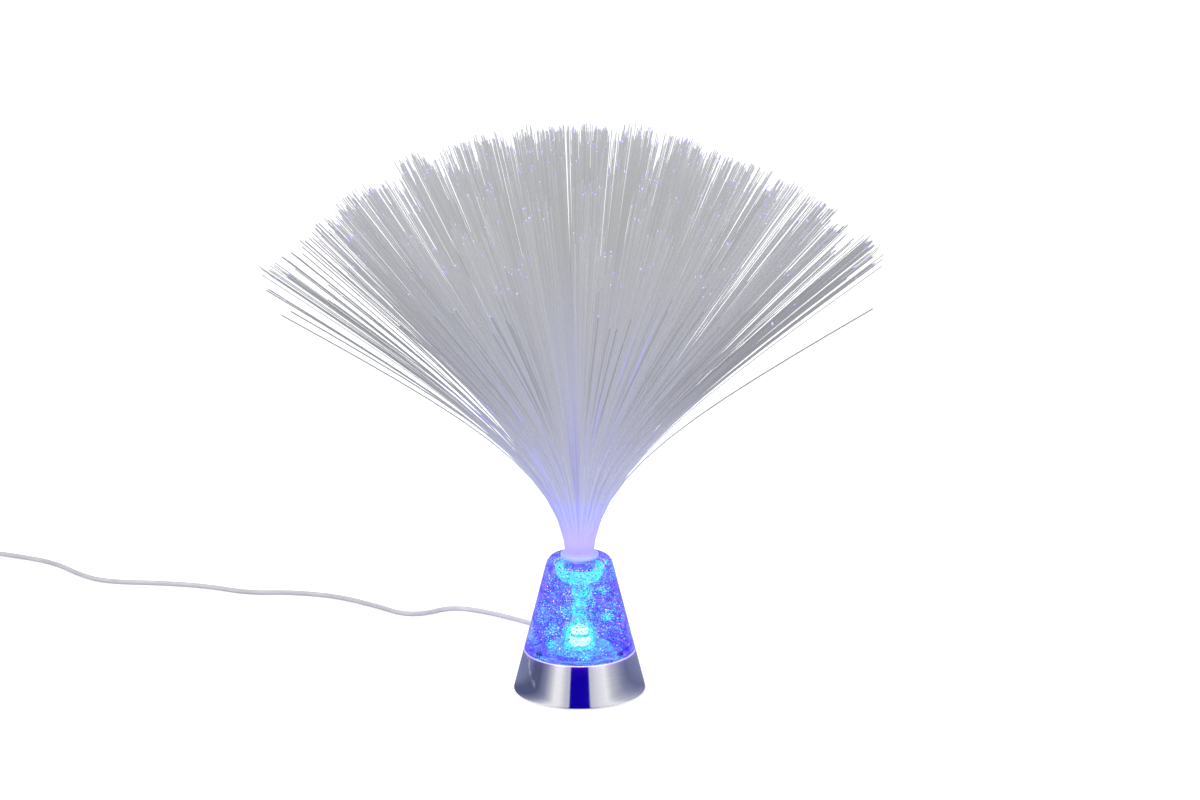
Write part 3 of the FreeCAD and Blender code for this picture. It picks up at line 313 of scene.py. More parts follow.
def make_acrylic():
    """Polished acrylic full of light: violet, flecked with cyan and white, more solid at its edges."""
    material, nodes, links, shader = new_material("clear_acrylic")
    cloud = noise(nodes, links, 190.0, 6.0)
    streaks = noise(nodes, links, 110.0, 5.0, (1.0, 1.0, 9.0))
    violet = ramp(
        nodes,
        links,
        cloud,
        [(0.34, (0.05, 0.02, 0.62)), (0.5, (0.12, 0.07, 0.86)), (0.66, (0.24, 0.2, 1.0))],
    )
    bands = ramp(
        nodes,
        links,
        streaks,
        [
            (0.36, (0.03, 0.0, 0.5)),
            (0.5, (0.10, 0.05, 0.85)),
            (0.62, (0.2, 0.22, 1.0)),
            (0.7, (0.1, 0.8, 1.0)),
        ],
    )
    low_down = mapped(nodes, links, height_up(nodes, links), 0.028, 0.034, 1.0, 0.0)
    ground = mixed(nodes, links, low_down, violet, bands)
    # painted glints: cyan flecks and white dots where bubbles in the acrylic catch the lamp's light
    patches = noise(nodes, links, 75.0, 2.0)
    flecks = noise(nodes, links, 1000.0, 2.0)
    gathered = maths(nodes, links, "ADD", flecks, maths(nodes, links, "MULTIPLY", patches, 0.6))
    picked = ramp(nodes, links, gathered, [(0.93, (0.0, 0.0, 0.0)), (1.0, (1.0, 1.0, 1.0))])
    flecked = mixed(nodes, links, picked, ground, (0.05, 0.95, 1.0))
    cells = spots(nodes, links, 620.0)
    dots = ramp(nodes, links, cells.outputs["Distance"], [(0.14, (1.0, 1.0, 1.0)), (0.22, (0.0, 0.0, 0.0))])
    pick = ramp(nodes, links, cells.outputs["Color"], [(0.76, (0.0, 0.0, 0.0)), (0.8, (1.0, 0.9, 1.0))])
    white = mixed(nodes, links, 1.0, dots, pick, "MULTIPLY")
    colour = mixed(nodes, links, 0.9, flecked, white, "ADD")
    links.new(mixed(nodes, links, 1.0, ground, (0.16, 0.16, 0.16), "MULTIPLY"), shader.inputs["Base Color"])
    links.new(colour, shader.inputs["Emission Color"])
    shader.inputs["Emission Strength"].default_value = 1.0
    facing = nodes.new("ShaderNodeLayerWeight")
    facing.inputs["Blend"].default_value = 0.35
    near_side = mapped(nodes, links, facing.outputs["Facing"], 0.3, 0.9, 0.36, 0.97)
    # the far wall keeps the light in
    far_side = maths(nodes, links, "MULTIPLY", backfacing(nodes), 0.97)
    links.new(maths(nodes, links, "MAXIMUM", near_side, far_side), shader.inputs["Alpha"])
    shader.inputs["Roughness"].default_value = 0.04
    shader.inputs["Specular IOR Level"].default_value = 0.35
    return material


def make_cord_material():
    """Light grey sleeve, which takes on the lamp's lavender light where it is near."""
    material = moulded("cord_sleeve", (0.5, 0.5, 0.53), (0.58, 0.58, 0.61), 0.45, 1800.0)
    nodes, links = material.node_tree.nodes, material.node_tree.links
    shader = nodes["Principled BSDF"]
    near = mapped(nodes, links, distance_away(nodes, links), 0.05, 0.2, 0.16, 0.0)
    shader.inputs["Emission Color"].default_value = (0.42, 0.32, 1.0, 1.0)
    links.new(near, shader.inputs["Emission Strength"])
    return material


def glowing(name, dark, light, strength, alpha=1.0, scale=300.0, low=0.35, high=0.65):
    """A mottled glow: light made visible inside the cone, in its bubbles and in milky plastic."""
    material, nodes, links, shader = new_material(name)
    mottle = noise(nodes, links, scale, 3.0)
    colour = ramp(nodes, links, mottle, [(low, dark), (high, light)])
    links.new(colour, shader.inputs["Base Color"])
    links.new(colour, shader.inputs["Emission Color"])
    shader.inputs["Emission Strength"].default_value = strength
    shader.inputs["Alpha"].default_value = alpha
    shader.inputs["Roughness"].default_value = 0.3
    return material


MATERIALS = {
    "fibre": make_fibre_material(),
    "fibre_tip": make_tip_material(),
    "chrome": make_chrome(),
    "clear_acrylic": make_acrylic(),
    "inner_haze": glowing("inner_haze", (0.03, 0.01, 0.55), (0.14, 0.12, 1.0), 1.0, 0.3, 420.0),
    "light_column": glowing("light_column", (0.06, 0.2, 1.0), (0.05, 1.0, 1.0), 1.8, 0.6, 420.0, 0.44, 0.56),
    "bore_glow": glowing("bore_glow", (0.08, 0.28, 0.95), (0.08, 0.95, 1.0), 1.2, 0.94, 900.0, 0.36, 0.52),
    "light_halo": glowing("light_halo", (0.0, 0.7, 1.0), (0.1, 1.0, 1.0), 2.0, 0.55, 500.0),
    "light_veil": glowing("light_veil", (0.05, 0.2, 1.0), (0.05, 1.0, 1.0), 1.5, 0.4, 600.0, 0.42, 0.6),
    "light_core": glowing("light_core", (0.4, 1.0, 1.0), (1.0, 1.0, 1.0), 6.0, 1.0, 600.0, 0.4, 0.5),
    "bubble_rim": glowing("bubble_rim", (0.75, 0.6, 1.0), (1.0, 0.9, 1.0), 1.3),
    "screw_shade": glowing("screw_shade", (0.0, 0.0, 0.12), (0.01, 0.0, 0.3), 0.4, 1.0, 500.0),
    "bubble_white": glowing("bubble_white", (0.85, 0.85, 1.0), (1.0, 1.0, 1.0), 3.2),
    "bubble_cyan": glowing("bubble_cyan", (0.0, 0.75, 1.0), (0.05, 1.0, 1.0), 2.0),
    "bubble_blue": glowing("bubble_blue", (0.08, 0.05, 1.0), (0.3, 0.3, 1.0), 1.2),
    "bubble_dark": glowing("bubble_dark", (0.01, 0.0, 0.22), (0.05, 0.0, 0.5), 0.8),
    "foam": moulded("foam", (0.012, 0.012, 0.012), (0.03, 0.03, 0.03), 0.85, 1400.0, 0.0002),
    "black_plastic": moulded("black_plastic", (0.02, 0.02, 0.021), (0.035, 0.035, 0.036), 0.5),
    "black_rubber": moulded("black_rubber", (0.02, 0.02, 0.02), (0.04, 0.04, 0.04), 0.7),
    "board": moulded("board", (0.62, 0.63, 0.6), (0.75, 0.76, 0.74), 0.35),
    "ceramic_parts": moulded("ceramic_parts", (0.03, 0.03, 0.03), (0.08, 0.08, 0.08), 0.45),
    "red_sleeve": moulded("red_sleeve", (0.42, 0.02, 0.02), (0.6, 0.04, 0.03), 0.35),
    "cord_sleeve": make_cord_material(),
    "switch_plastic": moulded("switch_plastic", (0.58, 0.58, 0.6), (0.68, 0.68, 0.69), 0.42),
    "milky_plastic": glowing("milky_plastic", (0.38, 0.46, 0.95), (0.44, 0.52, 1.0), 0.32, 1.0, 90.0),
    "light": glowing("light", (0.5, 0.95, 1.0), (0.9, 1.0, 1.0), 2.0, 1.0, 200.0),
    "steel": metal("steel", (0.5, 0.5, 0.52), (0.68, 0.68, 0.7), 0.28, (1.0, 1.0, 8.0)),
    "brass": metal("brass", (0.68, 0.5, 0.22), (0.85, 0.66, 0.32), 0.3, (8.0, 1.0, 1.0)),
}


# Meshes

def add_mesh(name, vertices, faces, slot, body, smooth=True, floats=None, second=None, second_faces=()):
    """A piece on a CAD body, with its material; floats are numbers kept at the points."""
    mesh = bpy.data.meshes.new(name)
    mesh.from_pydata(vertices, [], faces)
    mesh.update()
    mesh.polygons.foreach_set("use_smooth", [smooth] * len(faces))
    mesh.materials.append(MATERIALS[slot])
    if second:
        mesh.materials.append(MATERIALS[second])
        picked = set(second_faces)
        mesh.polygons.foreach_set("material_index", [int(k in picked) for k in range(len(faces))])
    for key, values in (floats or {}).items():
        mesh.attributes.new(key, "FLOAT", "POINT").data.foreach_set("value", values)
    piece = bpy.data.objects.new(name, mesh)
    scene.collection.objects.link(piece)
    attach(piece, body)
    return piece


def lathe(name, profile, slot, body, steps, middle=(0.0, 0.0)):
    """A turned piece about an upright axis, from (radius, height) corners."""
    vertices, faces = [], []
    count = len(profile)
    for k in range(steps):
        angle = 2 * math.pi * k / steps
        for radius, height in profile:
            across = middle[0] + radius * math.cos(angle)
            back = middle[1] + radius * math.sin(angle)
            vertices.append((across, back, height))
    for k in range(steps):
        following = (k + 1) % steps
        for n in range(count):
            after = (n + 1) % count
            faces.append((k * count + n, following * count + n, following * count + after, k * count + after))
    return add_mesh(name, vertices, faces, slot, body)


def rounded(profile, radius, steps=5):
    """A closed outline with each corner eased by an arc-like bend."""
    eased = []
    count = len(profile)
    for n, corner in enumerate(profile):
        before, after = Vector(profile[n - 1]), Vector(profile[(n + 1) % count])
        corner = Vector(corner)
        reach = min(radius, 0.45 * (corner - before).length, 0.45 * (after - corner).length)
        start = corner + (before - corner).normalized() * reach
        end = corner + (after - corner).normalized() * reach
        for k in range(steps + 1):
            t = k / steps
            point = start * (1 - t) ** 2 + corner * (2 * t * (1 - t)) + end * t ** 2
            eased.append((point.x, point.y))
    return eased


def slope_radius(up):
    """The shared slope of the ring and the cone."""
    return FOOT_RADIUS - (FOOT_RADIUS - CROWN_RADIUS) * (up - RING_FOOT) / (CROWN_TOP - RING_FOOT)


# Cords

def spline_cord(name, points, slot, body):
    """A free cord on one smooth line through its route's points."""
    curve = bpy.data.curves.new(name, "CURVE")
    curve.dimensions = "3D"
    spline = curve.splines.new("NURBS")
    spline.points.add(len(points) - 1)
    for point, place in zip(spline.points, points):
        point.co = (*place, 1.0)
    spline.order_u = 3
    spline.use_endpoint_u = True
    spline.resolution_u = 8
    curve.bevel_depth = CORD_WIDTH / 2
    curve.bevel_resolution = 5
    curve.use_fill_caps = True
    curve.materials.append(MATERIALS[slot])
    piece = bpy.data.objects.new(name, curve)
    scene.collection.objects.link(piece)
    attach(piece, body)
    return piece


CORD_LYING = 0.0014
GLAND_UP = 0.0076
SWITCH_ACROSS, SWITCH_BACK, SWITCH_JOINT = -0.412, 0.183, 0.006
SWITCH_END = 0.021
COIL_RADIUS, COIL_BACK, COIL_PITCH, COIL_TURNS = 0.0194, 0.109, 0.0034, 1.5
PLUG_ACROSS, PLUG_BACK, PLUG_UP = -0.396, 0.003, 0.004


def lamp_cord_route():
    """From the gland at the back of the foot, across the table, to the switch."""
    lying = CORD_LYING
    end = SWITCH_BACK + SWITCH_END
    return [
        (0.0, 0.0256, GLAND_UP),
        (0.0, 0.059, GLAND_UP),
        (-0.009, 0.093, lying),
        (-0.036, 0.117, lying),
        (-0.061, 0.1355, lying),
        (-0.0795, 0.1413, lying),
        (-0.0935, 0.130, lying),
        (-0.108, 0.1286, lying),
        (-0.124, 0.144, lying),
        (-0.150, 0.1635, lying),
        (-0.180, 0.1715, lying),
        (-0.205, 0.170, lying),
        (-0.232, 0.1835, lying),
        (-0.262, 0.190, lying),
        (-0.292, 0.192, lying),
        (-0.310, 0.2015, lying),
        (-0.333, 0.231, lying),
        (-0.356, 0.2435, lying),
        (-0.379, 0.2535, lying),
        (-0.400, 0.2495, lying),
        (SWITCH_ACROSS, end + 0.024, SWITCH_JOINT),
        (SWITCH_ACROSS, end, SWITCH_JOINT),
    ]


def coil_point(turns):
    """A place on the coil's line, a number of turns from its start."""
    inward = turns < COIL_TURNS
    radius = COIL_RADIUS - COIL_PITCH * (turns if inward else 2 * COIL_TURNS - turns)
    climb = min(1.0, max(0.0, (turns - COIL_TURNS + 0.25) * 2))
    height = CORD_LYING + COIL_PITCH * (1 - math.cos(math.pi * climb)) / 2
    angle = math.pi + 2 * math.pi * turns
    across = SWITCH_ACROSS + COIL_RADIUS + radius * math.cos(angle)
    return (across, COIL_BACK + radius * math.sin(angle), height)


def plug_cord_route():
    """From the switch, through the coil, to the plug."""
    lying = CORD_LYING
    start = SWITCH_BACK - SWITCH_END
    steps = 16
    last = round(2 * COIL_TURNS * steps)
    # a control polygon lies a little outside the line that it draws
    grow = 1 / math.cos(math.pi / steps)
    turns = []
    for k in range(1, last):
        across, back, height = coil_point(k / steps)
        middle = SWITCH_ACROSS + COIL_RADIUS
        turns.append((middle + (across - middle) * grow, COIL_BACK + (back - COIL_BACK) * grow, height))
    top = lying + COIL_PITCH
    return [
        (SWITCH_ACROSS, start, SWITCH_JOINT),
        (SWITCH_ACROSS, 0.1445, SWITCH_JOINT),
        (SWITCH_ACROSS, 0.1265, lying),
        (SWITCH_ACROSS, COIL_BACK + CORD_WIDTH, lying),
        *turns,
        (SWITCH_ACROSS, COIL_BACK - CORD_WIDTH, top),
        (SWITCH_ACROSS, 0.088, top),
        (-0.409, 0.068, lying),
        (-0.400, 0.045, lying),
        (PLUG_ACROSS, PLUG_BACK + 0.020, PLUG_UP),
        (PLUG_ACROSS, PLUG_BACK, PLUG_UP),
    ]


lamp_cord = spline_cord("lamp_cord_piece", lamp_cord_route(), "cord_sleeve", "lamp")
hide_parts("lamp_cord")
supply_cord = spline_cord("supply_cord_piece", plug_cord_route(), "cord_sleeve", "lamp")
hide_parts("switch_cord", "cord_coil", "plug_cord")


# Fibres

SPRAY_ANGLE = 47.3
SPRAY_POWER = 1.2
START_SHARE = 0.07
BEND_LENGTH = 0.048
SOLID_COUNT = 84
SOLID_STRAYS = 8
STRAY_ANGLE = 54.0
ANGLE_WANDER = 2.5
FILL_COUNT = 2400
LOCK_COUNT = 135
# the solids' strands start within this radius
SOLID_RADIUS = 0.00755
# locks low at the sides, the thick one at the right: bearing and lean in degrees, and how many strands
SIDE_LOCKS = ((5, 51, 40), (182, 53, 6), (175, 56, 5))
FIBRE_SIDES = 5
FIBRE_STEPS = 12
GOLDEN = math.pi * (3 - math.sqrt(5))


def lean_at(distance, angle):
    """How far a fibre leans from upright, in radians, at a distance along it."""
    share = 1 - (1 - START_SHARE) * math.exp(-distance / BEND_LENGTH)
    return math.radians(angle * share)


def fibre_line(reach, start_turn, bearing, angle, length, sway):
    """Points along one fibre, closer together near the bundle, and their directions."""
    points, directions, distances = [], [], []
    here = Vector((reach * math.cos(start_turn), reach * math.sin(start_turn), BUNDLE_TOP - 0.0003))
    fine = 96
    step = length / fine
    stops = {round(fine * (k / FIBRE_STEPS) ** 1.4) for k in range(FIBRE_STEPS + 1)}
    for n in range(fine + 1):
        lean = lean_at((n + 0.5) * step, angle)
        turn = bearing + sway * (n / fine) ** 2
        along = Vector((math.sin(lean) * math.cos(turn), math.sin(lean) * math.sin(turn), math.cos(lean)))
        if n in stops:
            points.append(here.copy())
            directions.append(along)
            distances.append(n * step)
        here = here + along * step
    points.append(points[-1] + directions[-1] * 0.0007)
    directions.append(directions[-1])
    distances.append(distances[-1])
    return points, directions, distances


def make_strands(name, strands, body, nodes):
    """One piece of many round strands."""
    vertices, faces, tone, along, glow, dim, rim = [], [], [], [], [], [], []
    tips = []
    for strand in strands:
        points, directions, distances = strand["line"]
        base = len(vertices)
        for place, direction, distance in zip(points, directions, distances):
            side = Vector((0.0, 0.0, 1.0)).cross(direction)
            side = side.normalized() if side.length > 1e-6 else Vector((1.0, 0.0, 0.0))
            up = direction.cross(side)
            for k in range(FIBRE_SIDES):
                angle = 2 * math.pi * k / FIBRE_SIDES
                out = side * math.cos(angle) + up * math.sin(angle)
                vertices.append(place + out * (strand["width"] / 2))
                tone.append(strand["tone"])
                dim.append(strand["dim"])
                rim.append(strand["rim"])
                along.append(distance / FIBRE_LENGTH)
                near = math.exp(-((distance - strand["spark_at"]) / strand["spark_long"]) ** 2)
                glow.append(strand["spark"] * near)
        rings = len(points)
        for r in range(rings - 1):
            for k in range(FIBRE_SIDES):
                following = (k + 1) % FIBRE_SIDES
                low, high = base + r * FIBRE_SIDES, base + (r + 1) * FIBRE_SIDES
                faces.append((low + k, low + following, high + following, high + k))
        end = base + (rings - 1) * FIBRE_SIDES
        if strand["bright_tip"]:
            tips += range(len(faces) - FIBRE_SIDES, len(faces) + 1)
        faces.append(tuple(end + k for k in range(FIBRE_SIDES)))
        faces.append(tuple(base + k for k in reversed(range(FIBRE_SIDES))))
    floats = {"tone": tone, "along": along, "glow": glow, "dim": dim, "rim": rim}
    piece = add_mesh(name, vertices, faces, "fibre", body, True, floats, "fibre_tip", tips)
    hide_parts(*nodes)


def strand_at(chance, reach, start_turn, bearing, angle, length, sway, dim):
    return {
        "line": fibre_line(reach, start_turn, bearing, angle, length, sway),
        "width": FIBRE_WIDTH * chance.uniform(0.9, 1.25) * (1.4 if dim > 0.35 else 1.0),
        "tone": chance.random(),
        "dim": dim + chance.uniform(-0.03, 0.03),
        "rim": (reach / BUNDLE_RADIUS) ** 2,
        "bright_tip": chance.random() < 0.3,
        "spark": 1.0 if chance.random() < 0.05 else 0.0,
        "spark_at": chance.uniform(0.04, 0.13),
        "spark_long": chance.uniform(0.01, 0.03),
    }


def dim_at(share, stray):
    """Strands with others about them pass light on; the outermost look darker, and lone ones darkest."""
    return 0.4 if stray else 0.25 * max(0.0, share - 0.8) / 0.2


def plan_solid_strands(groups, looks):
    """The strands that the solids have too, each on the same line."""
    chance = random.Random(11)
    names = list(groups)
    for n in range(SOLID_COUNT):
        share = math.sqrt((n + 0.5) / SOLID_COUNT)
        length = FIBRE_LENGTH * chance.uniform(0.94, 1.0)
        wander = chance.uniform(-1, 1) * ANGLE_WANDER * share
        stray = n >= SOLID_COUNT - SOLID_STRAYS
        angle = (STRAY_ANGLE if stray else SPRAY_ANGLE * share ** SPRAY_POWER) + wander
        which = 4 if stray else min(3, int(share * 4))
        turn = GOLDEN * n
        dim = dim_at(share, stray)
        strand = strand_at(looks, SOLID_RADIUS * share, turn, turn, angle, length, 0.0, dim)
        groups[names[which]].append(strand)


def plan_fill_strands(groups, chance):
    """The rest of the bundle: strands that draw together into locks, with a few that hang out lower."""
    names = list(groups)
    locks = []
    for n in range(LOCK_COUNT):
        share = math.sqrt((n + 0.5) / LOCK_COUNT)
        turn = GOLDEN * n + chance.uniform(-0.25, 0.25)
        middle = Vector((share * math.cos(turn), share * math.sin(turn)))
        pull = chance.uniform(0.05 + 0.6 * share, 0.45 + 0.5 * share)
        reach = 1.0 - chance.uniform(0.0, 0.008 + 0.032 * share)
        locks.append((middle, pull, reach))
    for n in range(FILL_COUNT):
        share = math.sqrt((n + 0.5) / FILL_COUNT)
        turn = GOLDEN * n
        place = Vector((share * math.cos(turn), share * math.sin(turn)))
        aim = place + Vector((chance.gauss(0, 0.03), chance.gauss(0, 0.03)))
        middle, pull, reach = min(locks, key=lambda lock: (lock[0] - aim).length_squared)
        aim = aim.lerp(middle, pull * chance.uniform(0.6, 1.0))
        angle = SPRAY_ANGLE * aim.length ** SPRAY_POWER
        stray = share > 0.75 and chance.random() < 0.09
        if stray:
            towards_switch = place.x < -0.7
            angle = chance.triangular(48, 60 if towards_switch else 55, 50)
        length = FIBRE_LENGTH * reach * chance.triangular(0.985 - 0.02 * share, 1.005, 1.002)
        bearing = math.atan2(aim.y, aim.x)
        which = 4 if stray else min(3, int(share * 4))
        sway = chance.gauss(0, 0.015)
        dim = dim_at(min(1.0, aim.length), stray)
        strand = strand_at(chance, BUNDLE_RADIUS * share, turn, bearing, angle, length, sway, dim)
        groups[names[which]].append(strand)
    for middle, lean, count in SIDE_LOCKS:
        for _ in range(count):
            turn = math.radians(middle + chance.gauss(0, 3.5))
            angle = lean + chance.gauss(0, 1.2)
            length = FIBRE_LENGTH * chance.triangular(0.95, 1.0, 0.99)
            sway = chance.gauss(0, 0.01)
            strand = strand_at(chance, BUNDLE_RADIUS, turn, turn, angle, length, sway, 0.3)
            groups["outer_fibres"].append(strand)


def plan_strands():
    places = ("centre", "inner", "middle", "outer", "stray")
    groups = {place + "_fibres": [] for place in places}
    chance = random.Random(7)
    plan_solid_strands(groups, chance)
    plan_fill_strands(groups, chance)
    return groups


def make_fibres():
    for name, strands in plan_strands().items():
        make_strands(name + "_piece", strands, "fibre_head", [name])


make_fibres()


# The fibre head's collar

def make_collar():
    profile = rounded(
        [
            (0.00832, 0.0696),
            (0.0091, 0.0696),
            (0.0091, 0.0799),
            (0.0109, 0.0800),
            (0.0109, COLLAR_TOP),
            (0.00832, COLLAR_TOP),
        ],
        0.0006,
    )
    collar = lathe("collar_piece", profile, "milky_plastic", "fibre_head", 96)
    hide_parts("fibre_collar")


make_collar()


# The chrome ring

def make_ring():
    foot, top = RING_FOOT, RING_TOP
    lip, ledge_bore, cavity = 0.0298, 0.024, 0.031
    ledge_top, ledge_low = 0.0215, 0.0195
    profile = rounded(
        [
            (slope_radius(foot), foot),
            (slope_radius(top), top),
            (lip, top),
            (lip, ledge_top),
            (ledge_bore, ledge_top),
            (ledge_bore, ledge_low),
            (cavity, ledge_low),
            (cavity, foot),
        ],
        0.0005,
        4,
    )
    ring = lathe("ring_piece", profile, "chrome", "lamp", 240)
    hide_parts("chrome_ring")


make_ring()


# The acrylic cone and the light inside it

def make_cone():
    crown, foot = CROWN_TOP, RING_TOP + 0.0001
    spigot, bore = 0.0296, 0.00935
    edge_reach, edge_steps = 0.0032, 8
    edge = []
    for k in range(edge_steps + 1):
        angle = math.pi / 2 * k / edge_steps
        radius = slope_radius(crown) - edge_reach * (1 - math.cos(angle)) * 0.9
        edge.append((radius, crown - edge_reach * (1 - math.sin(angle))))
    slope = [0.0255 + 0.0513 * k / 12 for k in range(13)]
    profile = [
        (AXIS, 0.0350),
        (0.0048, 0.0346),
        (0.0052, 0.0330),
        (0.0052, SPIGOT_FOOT),
        (spigot, SPIGOT_FOOT),
        (spigot, foot),
        (slope_radius(foot) - 0.0004, foot),
        (slope_radius(foot + 0.0005), foot + 0.0005),
        *[(slope_radius(up), up) for up in slope],
        *edge,
        (bore + 0.0006, crown),
        (bore, crown - 0.0006),
        (bore, BORE_FLOOR),
        (AXIS, BORE_FLOOR),
    ]
    cone = lathe("cone_piece", profile, "clear_acrylic", "lamp", 160)
    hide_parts("crystal_cone")


make_cone()


def make_inner_glow():
    """The light as the acrylic shows it from every side: larger than what throws it, as in a lens."""
    share = 0.78
    haze = [(AXIS, 0.0252), (slope_radius(0.0252) * share, 0.0252)]
    haze += [(slope_radius(up) * share, up) for up in (0.035, 0.045, 0.055, 0.065)]
    haze += [(0.0138, 0.0668), (AXIS, 0.0668)]
    lathe("inner_haze", haze, "inner_haze", "lamp", 96)
    cup = [
        (AXIS, 0.0650),
        (0.0066, 0.0652),
        (0.0112, 0.0670),
        (0.0134, 0.0700),
        (0.0141, 0.0746),
        (0.0126, 0.0746),
        (0.0124, 0.0696),
        (AXIS, 0.0690),
    ]
    lathe("bore_glow", cup, "bore_glow", "lamp", 96)
    column = [
        (AXIS, 0.0380),
        (0.0052, 0.0380),
        (0.0040, 0.0430),
        (0.0036, 0.0520),
        (0.0044, 0.0600),
        (0.0062, 0.0648),
        (AXIS, 0.0648),
    ]
    lathe("light_column", column, "light_column", "lamp", 64)
    halo = rounded(
        [(AXIS, 0.0256), (0.0094, 0.0256), (0.0080, 0.0290), (0.0076, 0.0366), (AXIS, 0.0374)], 0.0022
    )
    lathe("light_halo", halo, "light_halo", "lamp", 64)
    veil = rounded(
        [(AXIS, 0.0251), (0.0205, 0.0251), (0.0112, 0.0274), (0.0096, 0.0380), (AXIS, 0.0396)], 0.0030
    )
    lathe("light_veil", veil, "light_veil", "lamp", 64)
    for name, middle, reach in (("light_core_low", 0.0298, 0.0064), ("light_core_high", 0.0352, 0.0052)):
        angles = [math.pi * (k / 12 - 0.5) for k in range(13)]
        blob = [(max(AXIS, reach * math.cos(a)), middle + 0.7 * reach * math.sin(a)) for a in angles]
        lathe(name, blob, "light_core", "lamp", 32)
    for turn in (90, 210, 330):
        angle = math.radians(turn)
        middle = (0.0268 * math.cos(angle), 0.0268 * math.sin(angle))
        shade = [(0.0, 0.0248), (0.0019, 0.0248), (0.0017, 0.0268), (0.0, 0.0274)]
        lathe(f"screw_shade_{turn}", shade, "screw_shade", "lamp", 24, middle)


make_inner_glow()


BUBBLE_TRIES = 9500
RIM_BUBBLES = 44
SCATTERED_CLOUDS = 6
# bubbles this near to the middle of a cloud are bright
CLOUD_REACH = 0.0035
# clouds that stand out in the photograph: high up, at the right, low at the left, in the middle, at the foot
BRIGHT_CLOUDS = (
    (0.005, -0.008, 0.0615),
    (0.005, -0.008, 0.0590),
    (0.017, -0.010, 0.0460),
    (0.015, -0.011, 0.0480),
    (-0.016, -0.012, 0.0310),
    (-0.004, -0.006, 0.0500),
    (0.002, -0.023, 0.0262),
    (0.003, -0.021, 0.0264),
)


def bubble_corners():
    """An eight-sided grain: light enough to be there in thousands."""
    corners = [Vector(c) for c in ((1, 0, 0), (-1, 0, 0), (0, 1, 0), (0, -1, 0), (0, 0, 1), (0, 0, -1))]
    faces = [(0, 2, 4), (2, 1, 4), (1, 3, 4), (3, 0, 4), (2, 0, 5), (1, 2, 5), (3, 1, 5), (0, 3, 5)]
    return corners, faces


def bubble_kind(chance, radius, up):
    """White and cyan bubbles are commoner near the light and in the lower half."""
    near_light = math.exp(-radius / 0.009) + 0.35 * math.exp(-(((up - 0.040) / 0.012) ** 2))
    draw = chance.random()
    if draw < 0.025 + 0.05 * near_light:
        return "bubble_white"
    if draw < 0.20 + 0.4 * near_light:
        return "bubble_cyan"
    if draw < 0.70:
        return "bubble_blue"
    return "bubble_dark"


def bubble_place(chance, gatherings):
    """A place in the acrylic, clear of its bore; some bubbles gather in clouds."""
    draw = chance.random()
    if draw < 0.14:
        middle = chance.choice(gatherings)
        place = middle + Vector([chance.gauss(0, 0.0022) for _ in range(3)])
    elif draw < 0.24:
        place = Vector((chance.gauss(0, 0.0042), chance.gauss(0, 0.0042), chance.uniform(0.036, 0.066)))
    else:
        up = chance.uniform(0.0256, 0.0785)
        reach = (slope_radius(up) - 0.0009) * math.sqrt(chance.random())
        turn = chance.uniform(0, 2 * math.pi)
        place = Vector((reach * math.cos(turn), reach * math.sin(turn), up))
    reach = math.hypot(place.x, place.y)
    in_bore = place.z > 0.0648 and reach < 0.0142
    in_light = place.z < 0.0375 and reach < 0.008
    in_wall = reach < slope_radius(place.z) - 0.0008 and 0.0255 < place.z < 0.0787
    return place if in_wall and not in_bore and not in_light else None


def make_bubbles():
    """Trapped bubbles, each catching the light."""
    chance = random.Random(23)
    corners, shape = bubble_corners()
    kinds = ("bubble_white", "bubble_cyan", "bubble_blue", "bubble_dark", "bubble_rim")
    made = {kind: ([], []) for kind in kinds}

    def add_grain(kind, place, size, stretch):
        vertices, faces = made[kind]
        base = len(vertices)
        for corner in corners:
            out = Vector((corner.x * stretch[0], corner.y * stretch[1], corner.z * stretch[2]))
            vertices.append(place + out * size)
        faces.extend(tuple(base + v for v in face) for face in shape)

    scale = {"bubble_white": 0.9, "bubble_cyan": 1.0, "bubble_blue": 1.2, "bubble_dark": 1.2}
    gatherings = [Vector(c) for c in BRIGHT_CLOUDS]
    for _ in range(SCATTERED_CLOUDS):
        up = chance.uniform(0.030, 0.066)
        reach = slope_radius(up) * chance.uniform(0.25, 0.8)
        turn = chance.uniform(0, 2 * math.pi)
        gatherings.append(Vector((reach * math.cos(turn), reach * math.sin(turn), up)))
    for _ in range(BUBBLE_TRIES):
        place = bubble_place(chance, gatherings)
        if place is None:
            continue
        kind = bubble_kind(chance, math.hypot(place.x, place.y), place.z)
        in_cloud = any((place - cloud).length < CLOUD_REACH for cloud in gatherings)
        if in_cloud and kind != "bubble_white":
            kind = "bubble_cyan"
        size = (0.00016 + 0.00026 * chance.random() ** 3) * scale[kind]
        stretch = Vector((chance.uniform(0.7, 1.6), chance.uniform(0.7, 1.6), chance.uniform(0.6, 1.2)))
        add_grain(kind, place, size, stretch)
    # a ring of bubbles under the crown's edge
    rim, rim_up = 0.0147, 0.0762
    for n in range(RIM_BUBBLES):
        turn = 2 * math.pi * (n + chance.uniform(-0.3, 0.3)) / RIM_BUBBLES
        place = Vector((rim * math.cos(turn), rim * math.sin(turn), rim_up))
        add_grain("bubble_rim", place, 0.00042, (1.0, 1.0, 1.0))
    for kind, (vertices, faces) in made.items():
        add_mesh(kind + "s", vertices, faces, kind, "lamp", False)


make_bubbles()


# CAD nodes that stay, each with its finish

EASED = 0.00012
# mouldings that a hand holds have rounder edges
ROUNDER = {
    "switch_lower_housing": 0.0005,
    "switch_upper_housing": 0.0005,
    "plug_grip": 0.0006,
    "switch_rocker": 0.0003,
}


